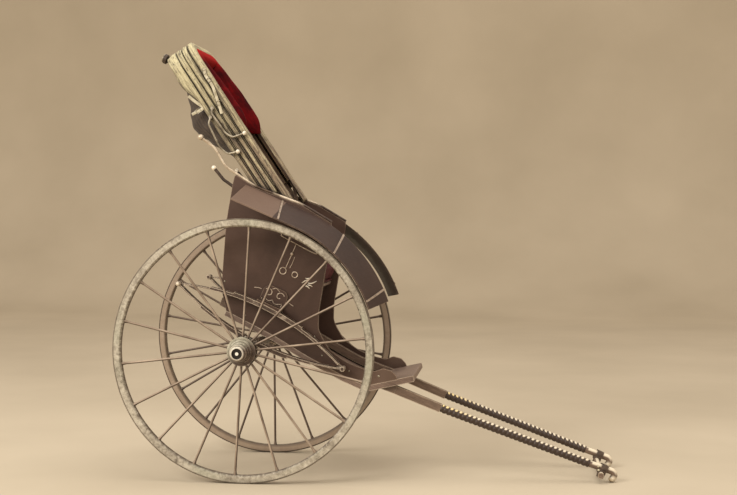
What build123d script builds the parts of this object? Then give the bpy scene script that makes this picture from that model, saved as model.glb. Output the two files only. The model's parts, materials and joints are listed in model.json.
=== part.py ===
# Pulled rickshaw: a two-wheeled passenger cart with two shafts, to be drawn on foot.
# Each piece is written as its own STEP file, in millimetres.
# The cart is drawn level, with the axle over x = 0, +X towards the shaft ends, +Y to the cart's left
# and +Z up. It is then tipped about its axle onto its shaft ends, which is how it parks, and moved so
# that the origin lies on the floor under the middle of its box.

from build123d import *
import os
from math import asin, atan2, cos, degrees, hypot, radians, sin, tan

# Body's width, from which the shafts, springs, wheels and hood take their places across the cart
body_width = 460.0
panel_thickness = 14.0
half_body = body_width / 2
inner_half_body = half_body - panel_thickness

# Wheels and axle
wheel_radius = 550.0
tyre_width = 28.0
tyre_thickness = 5.0
tyre_edge = 1.5
felloe_width = 30.0
felloe_depth = 30.0
felloe_edge = 7.0
spoke_count = 18
spoke_radius = 5.0
spoke_phase = {-1: 13.5, 1: 9.5}
nipple_radius = 8.0
nipple_length = 16.0
hub_spoke_radius = 52.0
hub_flange_radius = 60.0
hub_flange_width = 9.0
hub_inner_reach = 50.0
hub_outer_reach = 80.0
cap_reach = 107.0
cap_radius = 29.0
cap_lip_radius = 36.0
cap_lip_width = 6.0
cap_edge = 4.0
cap_recess_radius = 20.0
cap_recess_depth = 8.0
cap_bolt_radius = 9.0
cap_bolt_height = 6.0
journal_radius = 14.0
journal_clearance = 0.05
axle_square = 28.0
axle_collar_radius = 24.0
axle_collar_width = 8.0
axle_end_gap = 2.0

# Springs, one full ellipse each side
spring_gap = 19.0
spring_width = 38.0
spring_offset = half_body + spring_gap + spring_width / 2
spring_middle_x = 16.0
spring_eye_rise = 115.0
spring_eye_height = wheel_radius + spring_eye_rise
spring_half_length = 390.0
spring_upper_rise = 74.0
spring_lower_drop = 68.0
spring_tilt = 3.0
leaf_thickness = 6.0
leaf_length_shares = (1.0, 0.66, 0.4)
spring_eye_radius = 11.0
spring_bolt_radius = 5.0
spring_bolt_head = 9.0
spring_bolt_head_height = 6.0
spring_eye_slot = 14.0
spring_seat_length = 76.0
clip_radius = 3.5
clip_offset = 29.5
clip_gap = 0.1
clip_plate_thickness = 5.0
clip_end = 9.0
bracket_thickness = 8.0
bracket_length = 110.0
bracket_height = 90.0
bracket_corner = 30.0

# The wheels stand as far apart as the clips on the springs and the hubs' inner ends need
hub_gap = 5.9
clip_reach = spring_offset + spring_width / 2 + clip_gap + 2 * clip_radius
track = 2 * (clip_reach + hub_gap + hub_inner_reach)
axle_shoulder = track / 2 - hub_inner_reach - axle_end_gap

# Body
board_thickness = 16.0
floor_thickness = 22.0
toe_thickness = 25.0
toe_rebate = 2.0
rebate_gap = 1.0
seat_rise = 355.0
seat_height = wheel_radius + seat_rise
seat_front_x = 160.0
seat_nosing = 14.0
seat_cushion_height = 85.0
seat_cushion_side_gap = 4.0
seat_cushion_overhang = 6.0
back_cushion_thickness = 62.0
back_cushion_drop = 42.0
back_cushion_side_gap = 12.0
soft_clearance = 0.3
rail_radius = 6.0
rail_knob_radius = 13.0
rail_sink = 4.0
stud_radius = 6.5
stud_ball_radius = 10.0
stud_bend_radius = 40.0

# Fenders, a sloping strip over each wheel
fender_gap = 10.0
fender_thickness = 6.0
fender_rise = 64.0
fender_overhang = 52.0
fender_outer_radius = wheel_radius + fender_gap + fender_thickness
fender_inner_radius = fender_outer_radius + fender_rise
fender_outer_offset = track / 2 + fender_overhang
fender_top = wheel_radius + fender_inner_radius
fender_front_angle = 42.5
fender_rear_x = -285.0
fender_iron_angles = (71.5, 46.5)
fender_iron_outer_x = -71.0
fender_iron_inner_x = -104.0
fender_iron_width = 12.0
fender_iron_thickness = 3.0

# Shafts, from under the seat to the turned-down ends
shaft_width = 26.0
shaft_height = 34.0
shaft_offset = inner_half_body - shaft_width / 2
shaft_turn_x = 640.0
shaft_tip_offset = 150.0
pole_radius = 14.0
binding_pitch = 19.7
binding_core = 1.0
binding_turn = 3.0
tip_x = 1612.0
tip_rise = 122.0
tip_height = wheel_radius + tip_rise
curl_radius = 18.0
tip_radius = 14.0
crossbar_radius = 11.5
crossbar_x = 1560.0
crossbar_overhang = 45.0
crossbar_end_radius = 12.5
crossbar_end_length = 24.0
crossbar_seat_gap = 0.1
lashing_width = 30.0
lashing_thickness = 4.0

# Folding hood: four bows on one pivot line
hood_pivot_drop = 10.0
hood_pivot = (-120.0, fender_top - hood_pivot_drop)
hood_fold_angle = 33.0
bow_count = 4
bow_stack_middle = -13.0
bow_pitch = 27.3
bow_reach = 790.0
bow_leg_start = 105.0
bow_layer = 10.0
bow_bar_width = 16.0
bow_bar_height = 14.0
bow_corner_radius = 80.0
least_inner_corner = 12.0
ear_thickness = 5.0
hood_side_clearance = 5.0
bow_outer_half_width = inner_half_body - hood_side_clearance - ear_thickness
ear_eye_radius = 13.0
ear_bend = 70.0
ear_lap = 60.0
pivot_pin_radius = 5.0
pivot_pin_clearance = 0.05
pivot_head_radius = 10.0
pivot_head_thickness = 4.0
cloth_start = 150.0
cloth_half_width = inner_half_body - hood_side_clearance
cloth_band = 62.0
cloth_room = 3.0
cloth_crown = 12.0
cloth_end_band = 90.0
top_cloth_thickness = 10.0
iron_radius = 4.5
iron_stand_off = 18.5
iron_offset = bow_outer_half_width + iron_stand_off
iron_knob_radius = 8.0
iron_stud_spare = 2.5
buffer_offset = 130.0
buffer_plate_thickness = 8.0
buffer_plate_width = 22.0
buffer_drop = 34.0
buffer_radius = 21.0


def raised(base, rows):
    """Rows of (x, height above the base, ...) as rows of (x, z, ...)."""
    return [(x, base + height, *rest) for x, height, *rest in rows]


def side_plane(y):
    """Plane across the cart at y, whose sketch x is forwards and sketch y is up."""
    return Plane(origin=(0, y, 0), x_dir=(1, 0, 0), z_dir=(0, -1, 0))


def slab(outline, y_low, y_high):
    """Solid from a closed outline of (x, z, corner radius), between two places across the cart."""
    points = [(x, z) for x, z, radius in outline]
    radii = [radius for x, z, radius in outline]
    face = make_face(FilletPolyline(*points, radius=radii, close=True))
    return extrude(side_plane(y_high) * face, amount=y_high - y_low)


def both_sides(shape):
    """The shape and its mirror image on the cart's other side."""
    return [shape, mirror(shape, Plane.XZ)]


def cross_cylinder(x, z, radius, y_low, y_high):
    """Cylinder that runs across the cart."""
    return extrude(side_plane(y_high) * Pos(x, z) * Circle(radius), amount=y_high - y_low)


def tube_along(points, radii, radius):
    """Round bar of the given radius along straight runs joined by arcs."""
    path = FilletPolyline(*points, radius=radii)
    section = Plane(origin=path @ 0, z_dir=path % 0) * Circle(radius)
    return sweep(section, path=path)


def rounded_end(point, before, radius):
    """Half ball on the end of a round bar that arrives at point from before."""
    direction = Vector(*point) - Vector(*before)
    dome = Sphere(radius) - Pos(0, 0, -radius) * Box(4 * radius, 4 * radius, 2 * radius)
    return Plane(origin=point, z_dir=direction) * dome


# Wheels: an iron tyre, a wooden rim, round spokes with ferrules, and a turned hub


def wheel_plane(side):
    return Plane(origin=(0, side * track / 2, wheel_radius), x_dir=(side, 0, 0), z_dir=(0, side, 0))


def turned(steps, plane):
    """Solid of revolution from rows of (start, end, radius at start, radius at end)."""
    points = [(0, steps[0][0])]
    for start, end, radius_start, radius_end in steps:
        for point in ((radius_start, start), (radius_end, end)):
            if point != points[-1]:
                points.append(point)
    points.append((0, steps[-1][1]))
    face = make_face(Polyline(*points, close=True))
    return plane * revolve(Plane.XZ * face, Axis.Z)


def ring(outer, inner, width, plane, outer_edge=0.0, inner_edge=0.0):
    """Hoop round the wheel with its outer or inner edges bevelled."""
    half = width / 2
    rows = [(outer, half, outer_edge), (inner, half, inner_edge),
            (inner, -half, inner_edge), (outer, -half, outer_edge)]
    points = []
    for radius, height, edge in rows:
        inwards = -edge if radius == outer else edge
        level = height - edge if height > 0 else height + edge
        corner = [(radius, level), (radius + inwards, height)] if edge else [(radius, height)]
        points += corner if (height > 0) == (radius == outer) else list(reversed(corner))
    return plane * revolve(Plane.XZ * make_face(Polyline(*points, close=True)), Axis.Z)


def make_wheel(side):
    plane = wheel_plane(side)
    rim_outer = wheel_radius - tyre_thickness
    rim_inner = rim_outer - felloe_depth
    tyre = ring(wheel_radius, rim_outer, tyre_width, plane, outer_edge=tyre_edge)
    felloe = ring(rim_outer, rim_inner, felloe_width, plane, inner_edge=felloe_edge)

    spoke_length = rim_inner - hub_spoke_radius
    spoke = Pos(0, 0, spoke_length / 2) * Cylinder(spoke_radius, spoke_length)
    nipple = Pos(0, 0, spoke_length - nipple_length / 2) * Cone(
        spoke_radius, nipple_radius, nipple_length)
    spoke = Pos(hub_spoke_radius, 0, 0) * Rot(0, 90, 0) * (spoke + nipple)
    spoke -= Cylinder(rim_outer, felloe_width) - Cylinder(rim_inner, 2 * felloe_width)
    step = 360 / spoke_count
    first = spoke_phase[side] if side > 0 else 180 - spoke_phase[side]
    spokes = [plane * Rot(0, 0, first + step * number) * spoke for number in range(spoke_count)]

    seat = felloe_width / 2
    flange = seat + hub_flange_width
    # start, end, radius at start, radius at end, outwards from the plane of the spokes
    hub_steps = [
        (-hub_inner_reach, -34.0, 34.0, 38.0),
        (-34.0, -flange, 38.0, 44.0),
        (-flange, -seat, hub_flange_radius, hub_flange_radius),
        (-seat, seat, hub_spoke_radius, hub_spoke_radius),
        (seat, flange, hub_flange_radius, hub_flange_radius),
        (flange, 40.0, 50.0, 46.0),
        (40.0, 58.0, 41.0, 38.0),
        (58.0, hub_outer_reach, 34.0, 32.0),
    ]
    bore = Cylinder(journal_radius + journal_clearance, 4 * hub_outer_reach)
    hub = turned(hub_steps, plane) - plane * bore

    lip_end = hub_outer_reach + cap_lip_width
    cap_steps = [
        (hub_outer_reach, lip_end, cap_lip_radius, cap_lip_radius),
        (lip_end, cap_reach - cap_edge, cap_radius, cap_radius),
        (cap_reach - cap_edge, cap_reach, cap_radius, cap_radius - cap_edge),
    ]
    recess = Pos(0, 0, cap_reach) * Cylinder(cap_recess_radius, 2 * cap_recess_depth)
    socket = Pos(0, 0, hub_outer_reach) * Cylinder(journal_radius + axle_end_gap, 2 * cap_lip_width)
    bolt_middle = cap_reach - cap_recess_depth + cap_bolt_height / 2
    bolt = Pos(0, 0, bolt_middle) * extrude(RegularPolygon(cap_bolt_radius, 6), cap_bolt_height / 2, both=True)
    cap = turned(cap_steps, plane) - plane * recess - plane * socket + plane * bolt
    return {"tyre": [tyre], "felloe": [felloe], "spokes": spokes, "hub": [hub], "hub_cap": [cap]}


def make_axle():
    inner_end = axle_shoulder - axle_collar_width
    bar = Pos(0, 0, wheel_radius) * Box(axle_square, 2 * inner_end, axle_square)
    journal_end = track / 2 + hub_outer_reach - axle_end_gap
    journal = cross_cylinder(0, wheel_radius, journal_radius, -journal_end, journal_end)
    collar = cross_cylinder(0, wheel_radius, axle_collar_radius, inner_end, axle_shoulder)
    far_collar = mirror(collar, Plane.XZ)
    return bar + journal + collar + far_collar


# Springs: two bundles of leaves a side, joined at their eyes


def spring_plane(y):
    tilt = radians(-spring_tilt)
    return Plane(
        origin=(spring_middle_x, y, spring_eye_height),
        x_dir=(cos(tilt), 0, sin(tilt)),
        z_dir=(0, -1, 0),
    )


def leaf_bundle(rise, direction):
    """Sketch of leaves with the long one inside the ellipse; direction is +1 for the upper half."""
    radius = (spring_half_length ** 2 + rise ** 2) / (2 * rise)
    half_angle = asin(spring_half_length / radius)
    centre = rise - radius
    bundle = Sketch()
    for number, share in enumerate(leaf_length_shares):
        low = radius + (number - 0.5) * leaf_thickness
        high = low + leaf_thickness
        angle = half_angle * share
        corners = [
            (distance * sin(turn), direction * (centre + distance * cos(turn)))
            for distance, turn in (
                (low, -angle), (low, 0), (low, angle), (high, angle), (high, 0), (high, -angle))
        ]
        inside = ThreePointArc(corners[0], corners[1], corners[2])
        outside = ThreePointArc(corners[3], corners[4], corners[5])
        sides = [Line(corners[2], corners[3]), Line(corners[5], corners[0])]
        bundle += make_face([inside.edge(), sides[0].edge(), outside.edge(), sides[1].edge()])
    return bundle


def make_spring_half(rise, direction):
    """Half of the left-hand spring, with its eyes and the bolt holes through them."""
    y_high = spring_offset + spring_width / 2
    plane = spring_plane(y_high)
    half = extrude(plane * leaf_bundle(rise, direction), amount=spring_width)
    for end in (-1, 1):
        eye = Pos(end * spring_half_length, 0) * Circle(spring_eye_radius)
        half += extrude(plane * eye, amount=spring_width)
    middle_low = (spring_width - spring_eye_slot) / 2
    clear = spring_eye_radius + 1.5
    for end in (-1, 1):
        pocket = Pos(end * spring_half_length, 0) * Rectangle(4 * clear, 3 * clear)
        if direction > 0:
            outer_plane = spring_plane(y_high)
            half -= extrude(outer_plane * pocket, amount=middle_low)
            inner_plane = spring_plane(y_high - middle_low - spring_eye_slot)
            half -= extrude(inner_plane * pocket, amount=middle_low)
        else:
            slot_plane = spring_plane(y_high - middle_low)
            half -= extrude(slot_plane * pocket, amount=spring_eye_slot)
        hole = Pos(end * spring_half_length, 0) * Circle(spring_bolt_radius)
        half -= extrude(plane * hole, amount=spring_width)
    return half


def make_spring_bolts():
    y_high = spring_offset + spring_width / 2
    head = spring_bolt_head_height
    bolts = []
    for end in (-1, 1):
        place = Pos(end * spring_half_length, 0)
        stem = extrude(spring_plane(y_high) * place * Circle(spring_bolt_radius), amount=spring_width)
        outer = extrude(spring_plane(y_high + head) * place * Circle(spring_bolt_head), amount=head)
        inner_plane = spring_plane(y_high - spring_width)
        inner = extrude(inner_plane * place * Circle(spring_bolt_head), amount=head)
        bolts.append(stem + outer + inner)
    return bolts


def make_spring_seat(spring_lower):
    """Pad between the axle and the spring."""
    y_low = spring_offset - spring_width / 2
    y_high = spring_offset + spring_width / 2
    axle_top = wheel_radius + axle_square / 2
    half = spring_seat_length / 2
    pad_top = spring_eye_height - spring_lower_drop
    pad = slab([(-half, axle_top, 0), (half, axle_top, 0), (half, pad_top, 0), (-half, pad_top, 0)],
               y_low, y_high)
    return pad - spring_lower


def make_spring_clips():
    """Two clips over the left-hand spring and down past the axle, and the plate that they draw up under it."""
    reach = spring_width / 2 + clip_gap + clip_radius
    plate_top = wheel_radius - axle_square / 2
    plate_low = plate_top - clip_plate_thickness
    spring_top = spring_eye_height - spring_lower_drop + leaf_thickness / 2
    top = spring_top + clip_gap + clip_radius + 2 * leaf_thickness * sin(radians(spring_tilt))
    half = spring_seat_length / 2
    clips = slab([(-half, plate_low, 0), (half, plate_low, 0), (half, plate_top, 0), (-half, plate_top, 0)],
                 spring_offset - reach - 2 * clip_radius, spring_offset + reach + clip_radius)
    clips -= cross_cylinder(0, wheel_radius, axle_collar_radius + rebate_gap,
                            axle_shoulder - axle_collar_width - rebate_gap, axle_shoulder)
    for x in (-clip_offset, clip_offset):
        route = [(x, spring_offset - reach, plate_low - clip_end), (x, spring_offset - reach, top),
                 (x, spring_offset + reach, top), (x, spring_offset + reach, plate_low - clip_end)]
        clips += tube_along(route, [3 * clip_radius, 3 * clip_radius], clip_radius)
    return clips


def make_spring_bracket(spring_upper):
    """Angle iron from the top of the spring to the outside of the body's side."""
    y_high = spring_offset + spring_width / 2
    middle = spring_middle_x
    top = spring_eye_height + spring_upper_rise + leaf_thickness * len(leaf_length_shares)
    low = top - 2.0 * leaf_thickness
    half = bracket_length / 2
    foot = slab([(middle - half, low, 0), (middle + half, low, 0),
                 (middle + half, top + bracket_thickness, 0), (middle - half, top + bracket_thickness, 0)],
                half_body, y_high)
    relief = slab([(middle - half, low, 0), (middle + half, low, 0),
                   (middle + half, top, 0), (middle - half, top, 0)],
                  half_body + bracket_thickness, spring_offset - spring_width / 2)
    web = slab([(middle - half, low, 0), (middle + half, low, 0),
                (middle + half, low + bracket_height, bracket_corner),
                (middle - half, low + bracket_height, bracket_corner)],
               half_body, half_body + bracket_thickness)
    return foot - relief + web - spring_upper


# Body: two sides, back, floor, sloping toe board, seat box, and the rail along the top

# x and height of the rail's corners, from the knob at the back to its front end
rail_points = raised(fender_top, [(-545.0, 105.0), (-470.0, 88.0), (-395.0, 34.0), (-240.0, 7.0),
                                  (-30.0, 19.0), (112.0, 1.0)])
rail_bend_radii = [60.0, 90.0, 300.0, 300.0]
rail_offset = inner_half_body + panel_thickness / 2


def make_arm_rail(side):
    points = [(x, side * rail_offset, z) for x, z in rail_points]
    rail = tube_along(points, rail_bend_radii, rail_radius)
    knob = Pos(*points[0]) * Sphere(rail_knob_radius)
    return rail + knob


# x and height along the stud behind each side panel, from its foot to its ball
stud_points = raised(fender_top, [(-330.0, -31.0), (-384.0, -20.0), (-441.0, 9.0)])


def make_rest_stud(panel):
    """Short bent rod with a ball on its end, behind the left side panel's upper corner."""
    points = [(x, rail_offset, z) for x, z in stud_points]
    rod = tube_along(points, [stud_bend_radius], stud_radius)
    return rod + Pos(*points[-1]) * Sphere(stud_ball_radius) - panel


# x, height and corner radius down the back of the body, from its top to the floor
back_line = raised(fender_top, [(-338.0, -22.0, 0.0)]) + raised(
    wheel_radius, [(-300.0, 450.0, 400.0), (-207.0, 185.0, 60.0), (-150.0, 106.0, 0.0)])
# x and height along the top of the floor, from the back to the foot of the toe board
floor_line = raised(wheel_radius, [(-150.0, 106.0), (87.0, 93.0), (246.0, 73.0), (416.0, 61.0),
                                   (515.0, 61.0)])
toe_slope = 36.0
toe_end_x = 684.0
cheek_end_x = 628.0


def on_toe_board(x, depth=0.0):
    """Point at a depth under the toe board's top face, square below the place on it that is at x."""
    foot_x, foot_z = floor_line[-1]
    angle = radians(toe_slope)
    return (x + depth * sin(angle), foot_z + (x - foot_x) * tan(angle) - depth * cos(angle))


def make_side_panel(side, rail):
    top_rear = raised(fender_top, [(-345.0, 25.0 - rail_sink, 8.0)])
    along_rail = [(x, z - rail_sink, 0.0) for x, z in rail_points[3:]]
    front = raised(fender_top, [(120.0, -20.0, 0.0)]) + raised(
        wheel_radius,
        [(152.0, 508.0, 300.0), (213.0, 265.0, 150.0), (240.0, 198.0, 60.0), (268.0, 172.0, 60.0),
         (318.0, 136.0, 80.0), (403.0, 118.0, 200.0), (487.0, 124.0, 100.0), (530.0, 132.0, 30.0)])
    cheek = raised(wheel_radius, [(556.0, 158.0, 16.0), (592.0, 164.0, 22.0), (618.0, 153.0, 12.0)])
    foot_x = floor_line[-1][0]
    in_rebate = [on_toe_board(cheek_end_x), on_toe_board(cheek_end_x, toe_rebate),
                 on_toe_board(foot_x, toe_rebate)]
    bottom = [(x, z, 0.0) for x, z in in_rebate + list(reversed(floor_line[1:]))]
    back = list(reversed(back_line))
    outline = top_rear + along_rail + front + cheek + bottom + back
    panel = slab(outline, inner_half_body, half_body)
    return (panel if side > 0 else mirror(panel, Plane.XZ)) - rail


def make_back_panel():
    outer = back_line
    inner = [(x + board_thickness, z, radius) for x, z, radius in reversed(back_line)]
    return slab(outer + inner, -inner_half_body, inner_half_body)


def make_floor_board():
    top = [(x, z, 0.0) for x, z in floor_line]
    under = [(x, z - floor_thickness, 0.0) for x, z in reversed(floor_line)]
    return slab(top + under, -half_body, half_body)


def toe_rebate_run(end_x, y_low, y_high):
    """Rebate in the toe board's top face, from its foot to end_x."""
    foot_x = floor_line[-1][0]
    corners = [on_toe_board(foot_x), on_toe_board(end_x), on_toe_board(end_x, toe_rebate),
               on_toe_board(foot_x, toe_rebate)]
    return slab([(x, z, 0.0) for x, z in corners], y_low, y_high)


def make_toe_board():
    """Sloping board whose top face is let down for the side panels' feet and along the shafts."""
    foot_x, foot_z = floor_line[-1]
    under_foot_x = on_toe_board(foot_x, toe_thickness)[0]
    end_top = on_toe_board(toe_end_x)
    end_low = on_toe_board(toe_end_x, toe_thickness)
    outline = [(foot_x, foot_z, 0.0), (*end_top, 6.0), (*end_low, 6.0),
               (under_foot_x, foot_z - floor_thickness, 0.0), (foot_x, foot_z - floor_thickness, 0.0)]
    board = slab(outline, -half_body, half_body)

    shaft_rise = height_on(shaft_line, foot_x) + shaft_height / 2 - foot_z
    shaft_climb = (height_on(shaft_line, shaft_turn_x) - height_on(shaft_line, foot_x)) / (shaft_turn_x - foot_x)
    shaft_end_x = foot_x + shaft_rise / (tan(radians(toe_slope)) - shaft_climb) + rebate_gap
    shaft_inside = shaft_offset - shaft_width / 2 - rebate_gap
    rebates = both_sides(toe_rebate_run(cheek_end_x, inner_half_body, half_body))
    rebates += both_sides(toe_rebate_run(shaft_end_x, shaft_inside, inner_half_body))
    for rebate in rebates:
        board -= rebate
    return board


def height_on(line, x):
    """Height of a line of (x, z, ...) points at x."""
    rows = sorted((row[0], row[1]) for row in line)
    for (x0, z0), (x1, z1) in zip(rows, rows[1:]):
        if x0 <= x <= x1:
            return z0 + (z1 - z0) * (x - x0) / (x1 - x0)
    raise ValueError("x is outside the line")


def place_on(line, z):
    """Place along the cart of a line of (x, z, ...) points at height z."""
    rows = sorted((row[1], row[0]) for row in line)
    for (z0, x0), (z1, x1) in zip(rows, rows[1:]):
        if z0 <= z <= z1:
            return x0 + (x1 - x0) * (z - z0) / (z1 - z0)
    raise ValueError("z is outside the line")


def make_seat_riser():
    front = seat_front_x - seat_nosing
    back = front - board_thickness
    top = seat_height - board_thickness
    outline = [(back, height_on(floor_line, back), 0), (front, height_on(floor_line, front), 0),
               (front, top, 0), (back, top, 0)]
    return slab(outline, -inner_half_body, inner_half_body)


def make_seat_board(back_panel):
    top = seat_height
    low = seat_height - board_thickness
    rear = place_on(back_line, low) + board_thickness / 2
    outline = [(rear, low, 0), (seat_front_x, low, 5.0), (seat_front_x, top, 5.0), (rear, top, 0)]
    return slab(outline, -inner_half_body, inner_half_body) - back_panel


def make_seat_cushion():
    top = seat_height + seat_cushion_height
    low = seat_height + soft_clearance
    rear_low = place_on(back_line, seat_height) + board_thickness + seat_cushion_side_gap
    rear_top = place_on(back_line, top) + board_thickness + seat_cushion_side_gap
    front = seat_front_x + seat_cushion_overhang
    reach = inner_half_body - seat_cushion_side_gap
    outline = [(rear_low, low, 14.0), (front, low, 14.0), (front, top, 26.0), (rear_top, top, 14.0)]
    return slab(outline, -reach, reach)


def make_back_cushion():
    low = seat_height + seat_cushion_height + soft_clearance
    top = fender_top - back_cushion_drop
    reach = inner_half_body - back_cushion_side_gap
    rear_low = place_on(back_line, low) + board_thickness + soft_clearance
    rear_top = place_on(back_line, top) + board_thickness + soft_clearance
    outline = [(rear_low, low, 12.0), (rear_low + back_cushion_thickness, low, 22.0),
               (rear_top + back_cushion_thickness, top, 26.0), (rear_top, top, 12.0)]
    return slab(outline, -reach, reach)


# Fenders: ruled between an outer and an inner edge, each a level run and an arc about the axle


def ribbon(radius, depth, offset, start_angle, end_angle, rear_x=None):
    """Face of one edge of the strip, in a plane across the cart, depth measured towards the axle."""
    low = radius - depth

    def at(distance, angle):
        return (distance * cos(radians(angle)), wheel_radius + distance * sin(radians(angle)))

    middle = (start_angle + end_angle) / 2
    edges = [ThreePointArc(at(radius, start_angle), at(radius, middle), at(radius, end_angle)).edge(),
             Line(at(radius, end_angle), at(low, end_angle)).edge(),
             ThreePointArc(at(low, end_angle), at(low, middle), at(low, start_angle)).edge()]
    if rear_x is None:
        edges.append(Line(at(low, start_angle), at(radius, start_angle)).edge())
    else:
        edges += [Line(at(low, start_angle), (rear_x, at(low, start_angle)[1])).edge(),
                  Line((rear_x, at(low, start_angle)[1]), (rear_x, at(radius, start_angle)[1])).edge(),
                  Line((rear_x, at(radius, start_angle)[1]), at(radius, start_angle)).edge()]
    return (side_plane(offset) * make_face(edges)).face()


def make_fender():
    """Left-hand fender."""
    outer = ribbon(fender_outer_radius, fender_thickness, fender_outer_offset,
                   90.0, fender_front_angle, fender_rear_x)
    inner = ribbon(fender_inner_radius, fender_thickness, half_body,
                   90.0, fender_front_angle, fender_rear_x)
    return Solid.make_loft([outer.outer_wire(), inner.outer_wire()], ruled=True)


def level_iron_edge(radius, offset, x):
    """Outline of one end of the iron on the fender's level run."""
    middle = wheel_radius + radius + fender_iron_thickness / 2
    face = side_plane(offset) * Pos(x, middle) * Rectangle(fender_iron_width, fender_iron_thickness)
    return face.face().outer_wire()


def make_fender_irons():
    """Flat irons across the top of the left-hand fender."""
    ends = [level_iron_edge(fender_outer_radius, fender_outer_offset, fender_iron_outer_x),
            level_iron_edge(fender_inner_radius, half_body, fender_iron_inner_x)]
    irons = [Solid.make_loft(ends, ruled=True)]
    for angle in fender_iron_angles:
        half = degrees(fender_iron_width / 2 / fender_outer_radius)
        wires = [
            ribbon(radius + fender_iron_thickness, fender_iron_thickness, offset,
                   angle + half, angle - half).outer_wire()
            for radius, offset in ((fender_outer_radius, fender_outer_offset),
                                   (fender_inner_radius, half_body))
        ]
        irons.append(Solid.make_loft(wires, ruled=True))
    return irons


# Shafts: squared inside the body, round and bound where they are held, turned down at the end

# x and height of the centre line
shaft_line = raised(wheel_radius, [(-190.0, 131.0), (90.0, 115.0), (420.0, 82.0), (640.0, 96.0),
                                   (843.0, 102.0), (1500.0, 143.0), (1624.0, 154.0)])
shaft_bend_radii = [500.0, 500.0]
pole_bend_radius = 800.0


def shaft_swing():
    """Angle in plan by which the forward part of a shaft turns inwards."""
    return degrees(atan2(shaft_offset - shaft_tip_offset, tip_x - shaft_turn_x))


def swing_in(shape):
    """Turn a piece of the left-hand shaft inwards about the place where the shaft bends in plan."""
    return shape.rotate(Axis((shaft_turn_x, shaft_offset, 0), (0, 0, 1)), -shaft_swing())


def squared_run(points, radii):
    half = shaft_height / 2
    path_top = [(x, z + half) for x, z in points]
    path_low = [(x, z - half) for x, z in reversed(points)]
    corners = [(x, z) for x, z in path_top + path_low]
    all_radii = [0.0] + radii + [0.0, 0.0] + list(reversed(radii)) + [0.0]
    outline = [(x, z, radius) for (x, z), radius in zip(corners, all_radii)]
    return slab(outline, shaft_offset - shaft_width / 2, shaft_offset + shaft_width / 2)


def tip_route():
    """Corners of the round part of the left-hand shaft, down to its turned-in end."""
    points = [(x, shaft_offset, z) for x, z in shaft_line[4:]]
    points.append((tip_x, shaft_offset, tip_height))
    return points


def make_shaft():
    """Left-hand shaft without its binding and end cap."""
    rear = squared_run(shaft_line[:4], shaft_bend_radii)
    front = squared_run(shaft_line[3:5], [])
    pole = tube_along(tip_route(), [pole_bend_radius, curl_radius], pole_radius)
    return rear + swing_in(front) + swing_in(pole)


def make_binding(shaft):
    """Binding wound round the left-hand shaft: a sleeve with a rounded ridge for each of its turns."""
    start, end = shaft_line[4], shaft_line[5]
    length = hypot(end[0] - start[0], end[1] - start[1])
    along = Vector(end[0] - start[0], 0, end[1] - start[1])
    plane = Plane(origin=(start[0], shaft_offset, start[1]), z_dir=along)
    turns = int(length / binding_pitch)
    pitch = length / turns
    core = pole_radius + binding_core
    edges = [Line((core, 0), (pole_radius, 0)), Line((pole_radius, 0), (pole_radius, length)),
             Line((pole_radius, length), (core, length))]
    for number in range(turns):
        low = number * pitch
        edges.append(ThreePointArc((core, low), (core + binding_turn, low + pitch / 2), (core, low + pitch)))
    face = make_face([edge.edge() for edge in edges])
    return swing_in(plane * revolve(Plane.XZ * face, Axis.Z)) - shaft


def make_tip_cap():
    route = tip_route()
    return swing_in(rounded_end(route[-1], route[-2], tip_radius))


# Folding hood


def hood_directions():
    along = Vector(-cos(radians(hood_fold_angle)), 0, sin(radians(hood_fold_angle)))
    across = Vector(sin(radians(hood_fold_angle)), 0, cos(radians(hood_fold_angle)))
    return along, across


def bow_level(number):
    """Distance of a bow from the pivot line, square to its legs; the first bow lies lowest."""
    return bow_stack_middle + (number - (bow_count + 1) / 2) * bow_pitch


def hood_plane(level):
    along, across = hood_directions()
    origin = Vector(hood_pivot[0], 0, hood_pivot[1]) + across * level
    return Plane(origin=origin, x_dir=along, z_dir=across)


def u_shape(start, end, half_width, band, corner, end_band=None):
    """Sketch of a U whose legs run along x and whose closed end is at x = end."""
    end_band = band if end_band is None else end_band
    points = [(start, -half_width), (end, -half_width), (end, half_width), (start, half_width),
              (start, half_width - band), (end - end_band, half_width - band),
              (end - end_band, band - half_width), (start, band - half_width)]
    inner = max(corner - band, least_inner_corner)
    radii = [0.0, corner, corner, 0.0, 0.0, inner, inner, 0.0]
    return make_face(FilletPolyline(*points, radius=radii, close=True))


def bow_half_width(number):
    return bow_outer_half_width - (number - 1) * bow_layer


def make_bow(number):
    """Wooden bow with the iron ear that hangs each of its legs on the pivot pin."""
    level = bow_level(number)
    half_width = bow_half_width(number)
    sketch = u_shape(bow_leg_start, bow_reach, half_width, bow_bar_width, bow_corner_radius)
    bow = extrude(hood_plane(level - bow_bar_height / 2) * sketch, amount=bow_bar_height)

    bend = (ear_bend, level)
    lap_end = (bow_leg_start + ear_lap, level)
    swing = degrees(atan2(bend[1], bend[0]))
    crank_length = hypot(*bend)
    crank = (Pos(bend[0] / 2, bend[1] / 2) * Rot(0, 0, swing)
             * SlotCenterToCenter(crank_length, bow_bar_height))
    lap = Pos((bend[0] + lap_end[0]) / 2, level) * SlotCenterToCenter(lap_end[0] - bend[0], bow_bar_height)
    ear = crank + lap + Circle(ear_eye_radius) - Circle(pivot_pin_radius + pivot_pin_clearance)
    along, across = hood_directions()
    pieces = [bow]
    for side in (-1, 1):
        y = half_width if side > 0 else -half_width - ear_thickness
        plane = Plane(origin=(hood_pivot[0], y, hood_pivot[1]), x_dir=along, z_dir=(0, 1, 0))
        pieces.append(extrude(plane * ear, amount=ear_thickness))
    fused = pieces[0]
    for piece in pieces[1:]:
        fused += piece
    return fused


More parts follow.
